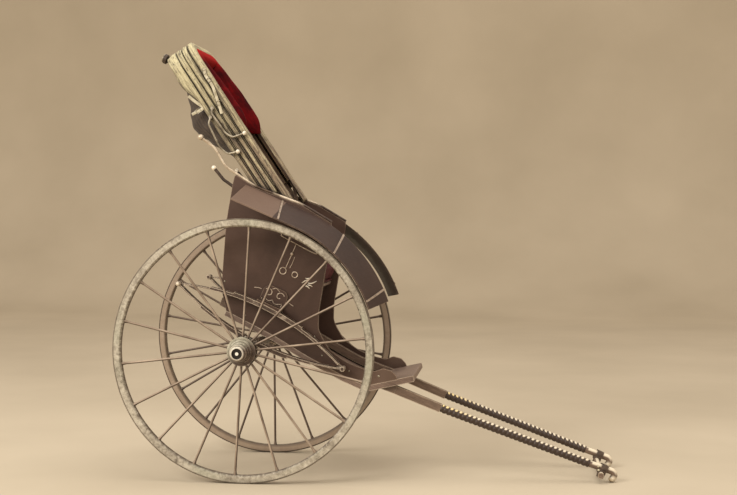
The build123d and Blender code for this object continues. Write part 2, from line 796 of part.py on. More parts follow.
def make_pivot_pins():
    """Pin from each side panel through the ears of all the bows, with a washer head inside."""
    x, z = hood_pivot
    inner_end = bow_half_width(bow_count) - 3.0
    pin = cross_cylinder(x, z, pivot_pin_radius, inner_end, inner_half_body)
    head = cross_cylinder(x, z, pivot_head_radius, inner_end - pivot_head_thickness, inner_end)
    return both_sides(pin + head)


def make_cloth(number):
    """Folded cloth between a bow and the next, or on top of the last one."""
    low = bow_level(number) + bow_bar_height / 2 + soft_clearance
    if number < bow_count:
        thickness = bow_pitch - bow_bar_height - soft_clearance - cloth_room
    else:
        thickness = top_cloth_thickness
    sketch = u_shape(cloth_start, bow_reach + cloth_crown, cloth_half_width, cloth_band,
                     bow_corner_radius, cloth_end_band)
    return extrude(hood_plane(low) * sketch, amount=thickness)


# along the legs from the pivot, depth below the lowest bow and corner radius
curtain_sag = [(255.0, 6.0, 0.0), (354.0, 48.0, 60.0), (442.0, 88.0, 60.0), (543.0, 79.0, 80.0),
               (640.0, 38.0, 80.0), (700.0, 20.0, 60.0), (770.0, 20.0, 0.0)]
curtain_side_gap = 18.0


def make_back_cloth():
    """Back curtain of the hood, sagging in a trough below the lowest bow."""
    top = -(bow_bar_height / 2 + soft_clearance)
    corners = [(along, top - depth, radius) for along, depth, radius in curtain_sag]
    corners += [(curtain_sag[-1][0], top, 0.0), (curtain_sag[0][0], top, 0.0)]
    along, across = hood_directions()
    half = bow_half_width(1) - curtain_side_gap
    origin = Vector(hood_pivot[0], -half, hood_pivot[1]) + across * bow_level(1)
    plane = Plane(origin=origin, x_dir=along, z_dir=(0, 1, 0))
    face = make_face(FilletPolyline(*[(x, z) for x, z, radius in corners],
                                    radius=[radius for x, z, radius in corners], close=True))
    return extrude(plane * face, amount=2 * half)


def make_hood_buffer():
    """Round buffer behind the closed end of the lowest bow, on a plate that hangs from it."""
    along, across = hood_directions()
    low = bow_level(1) - bow_bar_height / 2 - buffer_drop
    foot = Pos(bow_reach - buffer_plate_thickness / 2, buffer_offset) * Rectangle(
        buffer_plate_thickness, buffer_plate_width)
    plate = extrude(hood_plane(low) * foot, amount=buffer_drop)
    middle = (Vector(hood_pivot[0], buffer_offset, hood_pivot[1]) + across * (low + buffer_plate_width / 2)
              + along * (bow_reach - buffer_plate_thickness / 2))
    if plate.center().Y < 0:
        middle.Y = -buffer_offset
    # start, end, radius at start, radius at end, rearwards from the plate
    steps = [(-3.0, 8.0, 9.0, 9.0), (8.0, 12.0, 15.0, buffer_radius), (12.0, 24.0, buffer_radius, buffer_radius),
             (24.0, 28.0, buffer_radius, 14.0)]
    return plate + turned(steps, Plane(origin=middle, z_dir=(-1, 0, 0)))


def make_hood_iron(number, route):
    """Curled iron on the outside of a bow's left leg; route rows are along, across and bend radius."""
    along, across = hood_directions()
    leg_face = bow_half_width(number)
    points = []
    for reach, level, bend in route:
        points.append(Vector(hood_pivot[0], iron_offset, hood_pivot[1])
                      + along * reach + across * (bow_level(number) + level))
    rod = tube_along(points, [bend for reach, level, bend in route[1:-1]], iron_radius)
    knob = Pos(*tuple(points[-1])) * Sphere(iron_knob_radius)
    first = points[0]
    stud = cross_cylinder(first.X, first.Z, iron_radius + iron_stud_spare, leg_face,
                          iron_offset + iron_stud_spare)
    return rod + knob + stud


# along the legs from the pivot, across them from the middle of the bow's own leg, and bend radius
lower_iron_route = [(466.0, 0.0, 0.0), (446.0, -22.0, 15.0), (340.0, -36.0, 60.0), (295.0, -24.0, 25.0),
                    (280.0, 19.0, 0.0)]
upper_iron_route = [(494.0, 0.0, 0.0), (478.0, -14.0, 15.0), (372.0, -10.0, 60.0), (342.0, 6.0, 25.0),
                    (329.0, 58.0, 0.0)]


def build_level():
    """Solids of every node but the wheels, axle and crossbar, in the level attitude, by node name."""
    spring_upper = make_spring_half(spring_upper_rise, 1)
    spring_lower = make_spring_half(spring_lower_drop, -1)
    rails = [make_arm_rail(side) for side in (-1, 1)]
    back_panel = make_back_panel()
    floor_board = make_floor_board()
    shaft = make_shaft()
    riser = make_seat_riser()
    toe_board = make_toe_board()
    for piece in both_sides(shaft):
        riser -= piece
        back_panel -= piece
        toe_board -= piece

    panel_left = make_side_panel(1, rails[1]) - toe_board
    sprung = {
        "spring_upper": both_sides(spring_upper),
        "spring_lower": both_sides(spring_lower),
        "spring_bolts": [piece for bolt in make_spring_bolts() for piece in both_sides(bolt)],
        "spring_seats": both_sides(make_spring_seat(spring_lower)),
        "spring_clips": both_sides(make_spring_clips() - spring_lower),
        "spring_brackets": both_sides(make_spring_bracket(spring_upper)),
        "side_panel_right": [make_side_panel(-1, rails[0]) - toe_board],
        "side_panel_left": [panel_left],
        "back_panel": [back_panel],
        "floor_board": [floor_board],
        "toe_board": [toe_board],
        "seat_riser": [riser],
        "seat_board": [make_seat_board(back_panel)],
        "seat_cushion": [make_seat_cushion()],
        "back_cushion": [make_back_cushion()],
        "arm_rails": rails,
        "rest_studs": both_sides(make_rest_stud(panel_left)),
        "fenders": both_sides(make_fender()),
        "fender_irons": [piece for iron in make_fender_irons() for piece in both_sides(iron)],
        "shaft_left": [shaft],
        "shaft_right": [mirror(shaft, Plane.XZ)],
        "shaft_bindings": both_sides(make_binding(shaft)),
        "shaft_caps": both_sides(make_tip_cap()),
        "hood_pivots": make_pivot_pins(),
        "hood_back_cloth": [make_back_cloth()],
        "hood_irons_lower": both_sides(make_hood_iron(1, lower_iron_route)),
        "hood_irons_upper": both_sides(make_hood_iron(2, upper_iron_route)),
        "hood_buffers": both_sides(make_hood_buffer()),
    }
    for number in range(1, bow_count + 1):
        sprung[f"hood_bow_{number}"] = [make_bow(number)]
        sprung[f"hood_cloth_{number}"] = [make_cloth(number)]
    return sprung


def make_crossbar():
    """Bar lashed under the two shafts near their ends, and the lashings."""
    start, end = shaft_line[5], shaft_line[6]
    shaft_z = start[1] + (end[1] - start[1]) * (crossbar_x - start[0]) / (end[0] - start[0])
    bar_z = shaft_z - pole_radius - crossbar_radius - crossbar_seat_gap
    swing = radians(shaft_swing())
    offset = shaft_offset - (crossbar_x - shaft_turn_x) * sin(swing)
    x = shaft_turn_x + (crossbar_x - shaft_turn_x) * cos(swing)
    half = offset + crossbar_overhang
    bar = cross_cylinder(x, bar_z, crossbar_radius, -half, half)
    for end in both_sides(cross_cylinder(x, bar_z, crossbar_end_radius, half - crossbar_end_length, half)):
        bar += end
    radius = pole_radius + lashing_thickness
    band_height = 2 * (pole_radius + crossbar_radius + lashing_thickness)
    middle = (shaft_z + pole_radius + bar_z - crossbar_radius) / 2
    band = Pos(x, offset, middle) * fillet(
        Box(lashing_width, 2 * radius, band_height).edges().filter_by(Axis.X), radius * 0.6)
    return bar, band, (x, offset, bar_z, half)


def park_angle():
    """Nose-down angle at which the round shaft ends touch the floor that the wheels stand on."""
    swing = radians(shaft_swing())
    x = shaft_turn_x + (tip_x - shaft_turn_x) * cos(swing)
    rise = tip_height - wheel_radius
    return degrees(asin((wheel_radius - tip_radius) / hypot(x, rise)) + atan2(rise, x))


def main():
    sprung = build_level()
    bar, band, place = make_crossbar()
    sprung["crossbar"] = [bar]
    shafts = sprung["shaft_left"] + sprung["shaft_right"]
    lashing = band - bar - sprung["shaft_left"][0]
    sprung["crossbar_lashings"] = both_sides(lashing)

    angle = park_angle()
    axle_line = Axis((0, 0, wheel_radius), (0, 1, 0))
    nodes = {"axle": [make_axle().rotate(axle_line, angle)]}
    for name, solids in sprung.items():
        nodes[name] = [solid.rotate(axle_line, angle) for solid in solids]
    for side, label in ((1, "left"), (-1, "right")):
        for name, solids in make_wheel(side).items():
            nodes[f"wheel_{label}_{name}"] = solids

    lows = [solid.bounding_box().min.X for solids in nodes.values() for solid in solids]
    highs = [solid.bounding_box().max.X for solids in nodes.values() for solid in solids]
    shift = Location((-(min(lows) + max(highs)) / 2, 0, 0))
    os.makedirs("parts", exist_ok=True)
    for name, shapes in nodes.items():
        placed = [solid.moved(shift) for shape in shapes for solid in shape.solids()]
        export_step(placed[0] if len(placed) == 1 else Compound(children=placed), f"parts/{name}.step")
    print("park angle", round(angle, 4), "shift", round(shift.position.X, 3), "nodes", len(nodes))


main()
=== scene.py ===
# Looks of the pulled rickshaw: finishes, hood cloth, cushions, trim, floor, lights and camera.
# Lengths are in metres in the parked attitude. Places on the body are written in millimetres in the level
# attitude, in which the cart is drawn when it is pulled, and at_level() turns them into the parked one.
# Places on the hood are in millimetres along its legs, to the left and across them, for at_hood().
import json
from math import copysign, cos, dist, pi, radians, sin

import bmesh
import bpy
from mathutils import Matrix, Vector, noise


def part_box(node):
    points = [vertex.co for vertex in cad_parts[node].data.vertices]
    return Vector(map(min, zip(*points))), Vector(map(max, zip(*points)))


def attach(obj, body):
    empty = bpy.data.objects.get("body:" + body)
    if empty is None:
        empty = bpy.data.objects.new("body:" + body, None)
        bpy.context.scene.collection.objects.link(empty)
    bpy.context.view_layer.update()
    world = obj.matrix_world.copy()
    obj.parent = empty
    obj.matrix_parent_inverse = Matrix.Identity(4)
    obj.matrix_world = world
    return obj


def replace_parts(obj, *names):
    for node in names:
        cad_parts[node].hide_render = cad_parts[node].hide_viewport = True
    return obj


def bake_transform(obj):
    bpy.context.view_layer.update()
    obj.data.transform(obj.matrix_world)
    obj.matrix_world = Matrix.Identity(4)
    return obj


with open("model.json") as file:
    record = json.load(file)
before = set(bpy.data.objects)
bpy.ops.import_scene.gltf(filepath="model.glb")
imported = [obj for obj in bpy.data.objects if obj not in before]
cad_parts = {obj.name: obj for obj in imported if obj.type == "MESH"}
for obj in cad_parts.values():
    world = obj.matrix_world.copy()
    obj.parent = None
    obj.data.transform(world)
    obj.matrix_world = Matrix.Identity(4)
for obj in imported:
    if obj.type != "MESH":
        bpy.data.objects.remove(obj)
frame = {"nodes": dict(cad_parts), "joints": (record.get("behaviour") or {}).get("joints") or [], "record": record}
nodes = frame["nodes"]
joints = {joint["name"]: joint for joint in frame["joints"]}
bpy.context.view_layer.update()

# Attitude and main places
park_angle = radians(23.7132)
level_forward = Vector((cos(park_angle), 0, -sin(park_angle)))
level_up = Vector((sin(park_angle), 0, cos(park_angle)))
to_left = Vector((0, 1, 0))
axle_x, half_track, axle_height = joints["wheel_left_spin"]["pos_m"]
half_body = 230.0

# Hood, whose legs lie along one direction while the bows are stacked across it
hood_pivot = Vector(joints["hood_fold_1"]["pos_m"])
hood_angle = radians(33.0) + park_angle
hood_along = Vector((-cos(hood_angle), 0, sin(hood_angle)))
hood_across = Vector((sin(hood_angle), 0, cos(hood_angle)))
bow_levels = (-53.95, -26.65, 0.65, 27.95)
bow_reach = 790.0
bow_corner = 80.0

# Hood cloth: half its width, where its pieces start along the legs, and the steps round its outline
cloth_half_width = 206.0
cloth_start = 72.0
rib_starts = (92.0, 72.0, 45.0, -12.0)
lining_start = 348.0
leg_steps = 64
corner_steps = 16
end_steps = 30


def at_level(x, y, z):
    """Parked place, in metres, of a place in millimetres in the level attitude."""
    forward = x / 1000
    above = z / 1000 - axle_height
    return Vector((axle_x + forward * cos(park_angle) + above * sin(park_angle), y / 1000,
                   axle_height + above * cos(park_angle) - forward * sin(park_angle)))


def along_level(x, z):
    """How far along the level cart, in texture space, a place in millimetres is."""
    return at_level(x, 0, z).dot(level_forward)


def at_hood(along, y, across):
    """Parked place of a place in millimetres on the folded hood."""
    return hood_pivot + hood_along * (along / 1000) + hood_across * (across / 1000) + Vector((0, y / 1000, 0))


def tone(red, green, blue):
    """Linear colour from the usual 0 to 255 numbers."""
    values = [channel / 255 for channel in (red, green, blue)]
    return tuple(v / 12.92 if v <= 0.04045 else ((v + 0.055) / 1.055) ** 2.4 for v in values) + (1.0,)


def both(build):
    """Calls build for the cart's right side and its left."""
    for side in (-1, 1):
        build(side)


def side_name(side):
    return "left" if side > 0 else "right"


def eased(value, low, high):
    """0 below low, 1 above high and a smooth change between them."""
    share = min(max((value - low) / (high - low), 0.0), 1.0)
    return share * share * (3 - 2 * share)


def smooth_line(points, steps):
    """Points of a curve that passes through the given ones."""
    points = [Vector(point) for point in points]
    rows = [points[0] * 2 - points[1]] + points + [points[-1] * 2 - points[-2]]
    line = []
    for i in range(1, len(rows) - 2):
        a, b, c, d = rows[i - 1:i + 3]
        for step in range(steps):
            t = step / steps
            line.append(0.5 * (2 * b + (c - a) * t + (2 * a - 5 * b + 4 * c - d) * t ** 2
                               + (3 * b - a - 3 * c + d) * t ** 3))
    line.append(points[-1])
    return line


def circle(centre, side, other, wide, high, count):
    """Points of a circle or an ellipse, by two directions and the half widths along them."""
    angles = [2 * pi * k / count for k in range(count)]
    return [centre + side * (wide * cos(angle)) + other * (high * sin(angle)) for angle in angles]


def run_lengths(places):
    """Distance of each place from the first, along the run."""
    lengths = [0.0]
    for a, b in zip(places, places[1:]):
        lengths.append(lengths[-1] + dist(a, b))
    return lengths


# Forms: runs of points gathered into one piece, in which doubled points are joined
doubled_distance = 1e-6
sharp_angle = radians(40.0)
pole_radius = 1e-5


class Form:
    """Points and faces of one piece."""

    def __init__(self):
        self.points = []
        self.faces = []

    def grid(self, rows, closed_rows=False, closed_columns=False):
        """Quads between rows of points."""
        first = len(self.points)
        wide = len(rows[0])
        for row in rows:
            self.points += [Vector(point) for point in row]
        for i in range(len(rows) if closed_columns else len(rows) - 1):
            a = first + i * wide
            b = first + (i + 1) % len(rows) * wide
            for c in range(wide if closed_rows else wide - 1):
                d = (c + 1) % wide
                self.faces.append((a + c, a + d, b + d, b + c))
        return self

    def cap(self, row, flip=False):
        """One face that closes a row of points."""
        first = len(self.points)
        self.points += [Vector(point) for point in row]
        order = list(range(first, first + len(row)))
        self.faces.append(tuple(reversed(order)) if flip else tuple(order))
        return self

    def tube(self, path, radius, sides=8, closed=False, flat=1.0, up=(0, 0, 1)):
        """Round or flattened rod along a path; radius is one number or one for each point."""
        count = len(path)
        radii = radius if isinstance(radius, list) else [radius] * count
        side = Vector(up)
        rows = []
        for i, point in enumerate(path):
            before = path[i - 1] if closed or i else point
            after = path[(i + 1) % count] if closed or i < count - 1 else point
            tangent = (after - before).normalized()
            if not rows and abs(side.dot(tangent)) > 0.9:
                side = to_left
            side = (side - tangent * side.dot(tangent)).normalized()
            rows.append(circle(point, side, tangent.cross(side), radii[i] * flat, radii[i], sides))
        self.grid(rows, closed_rows=True, closed_columns=closed)
        if not closed:
            self.cap(rows[0]).cap(rows[-1], flip=True)
        return self

    def ball(self, centre, radius, axis=(0, 0, 1), squash=1.0, sides=14, rings=8):
        """Ball, or a button squashed along its axis."""
        axis = Vector(axis).normalized()
        side = axis.orthogonal().normalized()
        rows = []
        for k in range(rings + 1):
            size = max(radius * sin(pi * k / rings), pole_radius)
            middle = centre - axis * (radius * squash * cos(pi * k / rings))
            rows.append(circle(middle, side, axis.cross(side), size, size, sides))
        return self.grid(rows, closed_rows=True).cap(rows[0]).cap(rows[-1], flip=True)

    def plain(self, name, material):
        """The piece, shaded smooth all over."""
        mesh = bpy.data.meshes.new(name)
        mesh.from_pydata([tuple(point) for point in self.points], [], self.faces)
        mesh.materials.append(material)
        smooth_faces(mesh)
        obj = bpy.data.objects.new(name, mesh)
        bpy.context.scene.collection.objects.link(obj)
        return obj

    def make(self, name, slot, side=0, body="carriage", finish=None):
        """The piece, its outward sides outwards, riding on a body. A side is added to its name."""
        obj = self.plain(f"{name}_{side_name(side)}" if side else name, finish or looks[slot])
        work = bmesh.new()
        work.from_mesh(obj.data)
        bmesh.ops.remove_doubles(work, verts=work.verts, dist=doubled_distance)
        bmesh.ops.recalc_face_normals(work, faces=work.faces)
        for edge in work.edges:
            edge.smooth = len(edge.link_faces) == 2 and edge.calc_face_angle(0) < sharp_angle
        work.to_mesh(obj.data)
        work.free()
        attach(obj, body)
        return obj


def smooth_faces(mesh):
    for face in mesh.polygons:
        face.use_smooth = True


def bake(obj):
    """Applies a piece's modifiers to its mesh."""
    graph = bpy.context.evaluated_depsgraph_get()
    graph.update()
    mesh = bpy.data.meshes.new_from_object(obj.evaluated_get(graph))
    old = obj.data
    obj.modifiers.clear()
    obj.data = mesh
    mesh.name = old.name
    bpy.data.meshes.remove(old)


# Finishes: node graphs put together a step at a time. Colours are red, green and blue from 0 to 255.

# Parked directions that a finish depends on
light_side = (-0.64, 0.0, 0.77)
spoke_light_side = (-0.62, 0, 0.78)
# The side on which the shafts get their painted highlights, towards the light
highlight_side = tuple((level_up * 0.93 + Vector((0, -0.37, 0))).normalized())
# The side on which the binding's crests get their painted highlight
binding_highlight_side = tuple((level_up * 0.9 + Vector((0, -0.43, 0))).normalized())
dust_side = (0.2, 0, 0.98)

# Places in texture space where a finish changes, along the level cart or above it
fender_rear_edge = along_level(-96.0, 1150.0)
# Forward of cheek_start the body's lacquer is laid paler as painted light, on the cheek that faces up into the
# light
cheek_start = along_level(440.0, 680.0)
rail_brown_start = (-0.94, -0.90)
rail_brown_end = (-0.79, -0.83)
rail_bright_end = along_level(-30.0, 1195.0)
binding_gold_end = along_level(950.0, 660.0)
shaft_bare_x = along_level(1506.0, 693.0)
shaft_tip_x = along_level(1598.0, 690.0)
shaft_tip_z = at_level(1598.0, 0, 692.0).dot(level_up)

# Distances from the axle's line between which a soft edge starts and ends, on the rims and the hub caps
rim_inner_edge = (0.49, 0.5)
# The rims' dark bands between these distances are painted shade as well as wear
rim_worn_and_shaded_edge = (0.514, 0.523)
rim_far_worn_and_shaded_edge = (0.518, 0.528)
cap_recess = (0.0215, 0.0225)
cap_lip = (0.0285, 0.0275)
cap_bolt = (0.0075, 0.0062)
hub_shade_width = 0.075
cap_shade_width = 0.036

# Threads of the hood's cloth in the space of its texture
thread_scale = 620.0


class Look:
    """A material made of nodes. Its texture space is in metres and goes with the piece. It is turned level
    unless asked otherwise. Colours and bumps are laid one over another."""

    def __init__(self, name, metallic=0.0, turned=True):
        self.material = bpy.data.materials.new(f"{name}_look")
        self.material.use_nodes = True
        self.tree = self.material.node_tree
        self.tree.nodes.clear()
        self.surface = self.add("ShaderNodeBsdfPrincipled", {"Metallic": metallic})
        self.add("ShaderNodeOutputMaterial", {"Surface": self.surface.outputs["BSDF"]})
        self.turned = turned
        self.place = self.space()
        self.colour = None
        self.normal = None

    def add(self, kind, inputs=None, **settings):
        """A node with its settings, and with inputs given by name or number."""
        node = self.tree.nodes.new(kind)
        for key, value in settings.items():
            setattr(node, key, value)
        for key, value in (inputs or {}).items():
            self.give(node.inputs[key], value)
        return node

    def give(self, target, value):
        """Sets an input from a socket, a colour or a number."""
        if isinstance(value, bpy.types.NodeSocket):
            self.tree.links.new(value, target)
        else:
            target.default_value = tone(*value) if target.type == "RGBA" else value

    def mapped(self, place, key, value):
        return self.add("ShaderNodeMapping", {"Vector": place, key: value}).outputs["Vector"]

    def space(self, stretch=(1, 1, 1)):
        """Texture coordinates, stretched."""
        place = self.add("ShaderNodeTexCoord").outputs["Object"]
        if self.turned:
            place = self.mapped(place, "Rotation", (0, -park_angle, 0))
        return self.mapped(place, "Scale", stretch)

    def cloud(self, scale, detail=4.0, rough=0.55, twist=0.0, space=None):
        inputs = {"Vector": self.place if space is None else space, "Scale": scale, "Detail": detail,
                  "Roughness": rough, "Distortion": twist}
        return self.add("ShaderNodeTexNoise", inputs).outputs["Fac"]

    def cells(self, scale):
        return self.add("ShaderNodeTexVoronoi", {"Vector": self.place, "Scale": scale}).outputs["Distance"]

    def ramp(self, fac, places, *colours):
        """Colour from a 0 to 1 value, by colours at places on it."""
        node = self.add("ShaderNodeValToRGB", {"Fac": fac})
        band = node.color_ramp
        while len(band.elements) < len(places):
            band.elements.new(0.5)
        for element, place, colour in zip(band.elements, places, colours):
            element.position = place
            element.color = tone(*colour)
        return node.outputs["Color"]

    def span(self, fac, low, high, new_low=0.0, new_high=1.0):
        """Value mapped from one span to another, held at its ends."""
        inputs = {"Value": fac, "From Min": low, "From Max": high, "To Min": new_low, "To Max": new_high}
        return self.add("ShaderNodeMapRange", inputs).outputs["Result"]

    def mix(self, fac, first, second):
        return self.add("ShaderNodeMix", {"Factor": fac, 6: first, 7: second}, data_type="RGBA").outputs[2]

    def math(self, operation, first, second):
        return self.add("ShaderNodeMath", {0: first, 1: second}, operation=operation).outputs[0]

    def times(self, first, second):
        return self.math("MULTIPLY", first, second)

    def plus(self, first, second):
        return self.math("ADD", first, second)

    def swayed(self, value, pattern, amount):
        """Value that a pattern moves to both sides."""
        return self.plus(value, self.times(self.math("SUBTRACT", pattern, 0.5), amount))

    def measure(self, operation, first, second):
        """Number that comes from two vectors."""
        return self.add("ShaderNodeVectorMath", {0: first, 1: second}, operation=operation).outputs["Value"]

    def part(self, axis, vector=None):
        """One component of a vector, or of the place in texture space."""
        vector = self.place if vector is None else vector
        return self.add("ShaderNodeSeparateXYZ", {"Vector": vector}).outputs[axis]

    def cloth_place(self):
        """Distance along the hood's legs and across the cloth, from its texture coordinates."""
        place = self.add("ShaderNodeUVMap").outputs["UV"]
        return self.part("X", place), self.part("Y", place)

    def cloth_space(self, stretch):
        """Texture coordinates along the hood's legs, over its width and across the cloth."""
        along, across = self.cloth_place()
        parts = [self.times(place, scale) for place, scale in zip((along, self.part("Y"), across), stretch)]
        return self.add("ShaderNodeCombineXYZ", dict(enumerate(parts))).outputs["Vector"]

    def weave(self):
        """Threads along the cloth and across it."""
        place = self.mapped(self.add("ShaderNodeUVMap").outputs["UV"], "Scale", (thread_scale,) * 3)
        bands = [self.add("ShaderNodeTexWave", {"Vector": place, "Scale": 0.35, "Distortion": 0.6},
                          wave_type="BANDS", bands_direction=direction) for direction in "XY"]
        return self.mix(0.5, *(band.outputs["Fac"] for band in bands))

    def from_axle(self):
        """Distance from the line of the axle."""
        return self.measure("DISTANCE", self.space((1, 0, 1)), (axle_x, 0, axle_height))

    def facing(self, direction):
        """How far the surface faces a parked direction, from -1 to 1."""
        normal = self.add("ShaderNodeNewGeometry").outputs["Normal"]
        return self.measure("DOT_PRODUCT", normal, direction)

    def outward(self):
        """How far the surface faces away from the cart's middle, from -1 to 1."""
        return self.times(self.facing(to_left), self.math("SIGN", self.part("Y"), 0.0))

    def shaded(self, width):
        """1 on the light side of the axle's line and 0 on the other, half by place and half by facing."""
        middle = Vector(light_side).dot(Vector((axle_x, 0, axle_height)))
        place = self.math("SUBTRACT", self.measure("DOT_PRODUCT", self.place, light_side), middle)
        lit = self.plus(self.times(place, 0.5 / width), self.times(self.facing(light_side), 0.5))
        return self.span(lit, -0.15, 0.35)

    def rounded(self, radius):
        """Normal rounded over edges."""
        return self.add("ShaderNodeBevel", {"Radius": radius}, samples=6).outputs["Normal"]

    def edges(self, radius, gain, amount):
        """The amount close to an edge and 0 away from it."""
        away = self.times(self.math("SUBTRACT", 1.0, self.facing(self.rounded(radius))), gain)
        return self.span(away, 0.0, 1.0, 0.0, amount)

    def start(self, pattern, places, *colours):
        """The colour under all others, by a pattern."""
        self.colour = self.ramp(pattern, places, *colours)

    def lay(self, colour, *shares):
        """Lays a colour over the others, by the product of shares from 0 to 1."""
        share = shares[0]
        for further in shares[1:]:
            share = self.times(share, further)
        self.colour = self.mix(share, self.colour, colour)

    def shade_hollows(self, reach, amount, colour):
        """Lays painted shade into corners and creases, darker where ambient occlusion finds them closed in."""
        node = self.add("ShaderNodeAmbientOcclusion", {"Distance": reach}, samples=6)
        self.lay(colour, self.span(node.outputs["AO"], 0.4, 1.0, amount, 0.0))

    def bump(self, height, strength, depth, radius=None):
        """Raises the surface by a pattern; a radius rounds its edges first."""
        node = self.add("ShaderNodeBump", {"Strength": strength, "Distance": depth, "Height": height})
        if radius:
            self.normal = self.rounded(radius)
        if self.normal is not None:
            self.give(node.inputs["Normal"], self.normal)
        self.normal = node.outputs["Normal"]

    def done(self, roughness, **more):
        """The finished material; its roughness is a number or a pattern with its low and high."""
        if isinstance(roughness, tuple):
            pattern, low, high = roughness
            roughness = self.span(pattern, 0.3, 0.7, low, high)
        inputs = {"Base Color": self.colour, "Roughness": roughness, "Normal": self.normal}
        for name, value in {**inputs, **more}.items():
            self.give(self.surface.inputs[name.replace("_", " ")], value)
        return self.material


def wood_look(name, dark, middle, light, worn, painted_highlight=None):
    """Wood with long grain, painted shade in its corners and edges rubbed paler, which is also painted highlight;
    painted_highlight is the colour of painted highlights along a shaft's top and tip.
    """
    look = Look(name)
    fibres = look.space((2.2, 26, 26))
    grain = look.cloud(9.0, 7.0, 0.62, 0.35, fibres)
    broad = look.cloud(1.6, 3.0, space=look.space((3, 9, 9)))
    look.start(look.mix(0.45, grain, broad), (0.32, 0.52, 0.72), dark, middle, light)
    look.lay(dark, look.span(look.cloud(42.0, 3.0, space=fibres), 0.36, 0.5, 0.5, 0.0))
    # Edges rubbed paler: wear, and painted highlight along them
    look.lay(worn, look.edges(0.0055, 6.0, 0.95), look.span(look.cloud(38.0), 0.35, 0.62, 0.45, 1.0))
    if painted_highlight:
        # Painted highlights: a thin pale line along the top, the shaft's tip, and the bare pole's upper side,
        # where the light falls
        along = look.part("X")
        facing = look.facing(highlight_side)
        look.lay(painted_highlight, look.span(facing, 0.955, 0.985, 0.0, 0.85), look.span(grain, 0.36, 0.5))
        look.lay(painted_highlight, look.span(along, shaft_tip_x, shaft_tip_x + 0.012, 0.0, 0.9),
                 look.span(look.part("Z"), shaft_tip_z, shaft_tip_z - 0.012))
        look.lay(painted_highlight, look.span(along, shaft_bare_x, shaft_bare_x + 0.006),
                 look.span(facing, 0.45, 0.8, 0.0, 0.85))
    look.shade_hollows(0.03, 0.55, dark)
    look.bump(grain, 0.16, 0.0012, 0.0012)
    return look.done((broad, 0.4, 0.64))


def lacquer_look(name, dark, middle, dusty, worn, section, gloss=0.32):
    """Lacquer with fine scratches, dust and edges worn through to the ground colour, which is also painted
    highlight along them. A section of it, by its place along the level cart, the width of its soft edge and its
    colour, is paler."""
    look = Look(name)
    broad = look.cloud(5.0, 5.0, 0.6, 0.3)
    fine = look.cloud(16.0, 6.0, 0.7, 0.4, look.space((3, 3, 30)))
    look.start(look.mix(0.35, broad, fine), (0.3, 0.5, 0.95), dark, middle, dusty)
    place, width, paler = section
    look.lay(paler, look.span(look.part("X"), place, place + width, 0.0, 0.8))
    look.lay(dusty, look.span(look.facing(dust_side), 0.2, 1.0, 0.0, 0.35),
             look.span(broad, 0.35, 0.7, 0.1, 0.6))
    # Pale edges: wear, and painted highlight along them
    look.lay(worn, look.edges(0.0045, 6.0, 0.85), look.span(look.cloud(30.0), 0.36, 0.6, 0.35, 1.0))
    look.shade_hollows(0.035, 0.6, dark)
    look.lay(worn, look.span(look.cells(70.0), 0.02, 0.09, 1.0, 0.0), look.span(fine, 0.55, 0.7, 0.0, 0.5))
    look.bump(fine, 0.07, 0.0008, 0.0015)
    return look.done((fine, gloss, gloss + 0.22), Specular_IOR_Level=0.3)


def iron_look(name, dark, middle, bright, metallic, rust, rust_tone=(96, 66, 46), edge=0.0012, gloss=0.42):
    """Forged iron, mottled, rusty in patches, with painted shade in its corners and bright along its edges, which
    is wear and painted highlight.
    """
    look = Look(name, metallic)
    mottle = look.cloud(26.0, 7.0, 0.65, 0.4)
    look.start(mottle, (0.33, 0.56, 1.0), dark, middle, bright)
    patch = look.span(look.cloud(11.0, 5.0), 0.44, 0.62, 0.0, rust)
    look.lay(rust_tone, patch)
    look.shade_hollows(0.02, 0.55, dark)
    # Bright edges: wear, and painted highlight along them
    look.lay(bright, look.edges(edge, 6.0, 0.85))
    look.bump(look.cloud(170.0, 3.0, 0.5), 0.16, 0.0007, 0.001)
    rough = look.span(mottle, 0.3, 0.7, gloss - 0.08, gloss + 0.16)
    return look.done(look.plus(rough, look.times(patch, 0.3)))


def rim_look():
    """Wheel paint: pale and mottled outside, worn to brown along the edges, with painted shade browner on the
    faces towards the cart and dark along the rim's inner edge.
    """
    look = Look("wheel_paint", turned=False)
    patches = look.cloud(17.0, 7.0, 0.68, 0.5)
    streaks = look.cloud(5.0, 5.0, 0.7, 0.8, look.space((14, 5, 14)))
    look.start(look.mix(0.5, patches, streaks), (0.33, 0.44, 0.54, 0.68),
               (98, 88, 76), (148, 139, 124), (182, 174, 157), (212, 206, 190))
    look.lay((166, 170, 148), look.span(look.cloud(3.1, 2.0), 0.45, 0.62, 0.0, 0.5))
    look.lay((86, 72, 54), look.span(look.cells(120.0), 0.04, 0.16, 1.0, 0.0),
             look.span(patches, 0.48, 0.62, 0.0, 0.65))
    # Painted shade: the faces towards the cart, away from the light, are laid browner
    inner = look.span(look.outward(), 0.25, -0.35, 0.0, 0.8)
    look.lay((154, 132, 112), inner)
    reach = look.from_axle()
    # Painted shade, with wear: a dark band along the rim's inner edge, and on the faces towards the cart
    edge = look.times(look.span(look.swayed(reach, streaks, 0.02), *rim_worn_and_shaded_edge, 0.85, 0.0),
                      look.span(reach, *rim_inner_edge))
    far_edge = look.times(look.span(reach, *rim_far_worn_and_shaded_edge, 0.85, 0.0), inner)
    look.lay((74, 60, 46), look.math("MAXIMUM", edge, far_edge))
    look.lay((96, 78, 58), look.edges(0.003, 4.0, 0.8), look.span(streaks, 0.42, 0.58))
    look.shade_hollows(0.03, 0.7, (58, 46, 36))
    look.bump(patches, 0.24, 0.0014, 0.0022)
    return look.done((streaks, 0.52, 0.72))


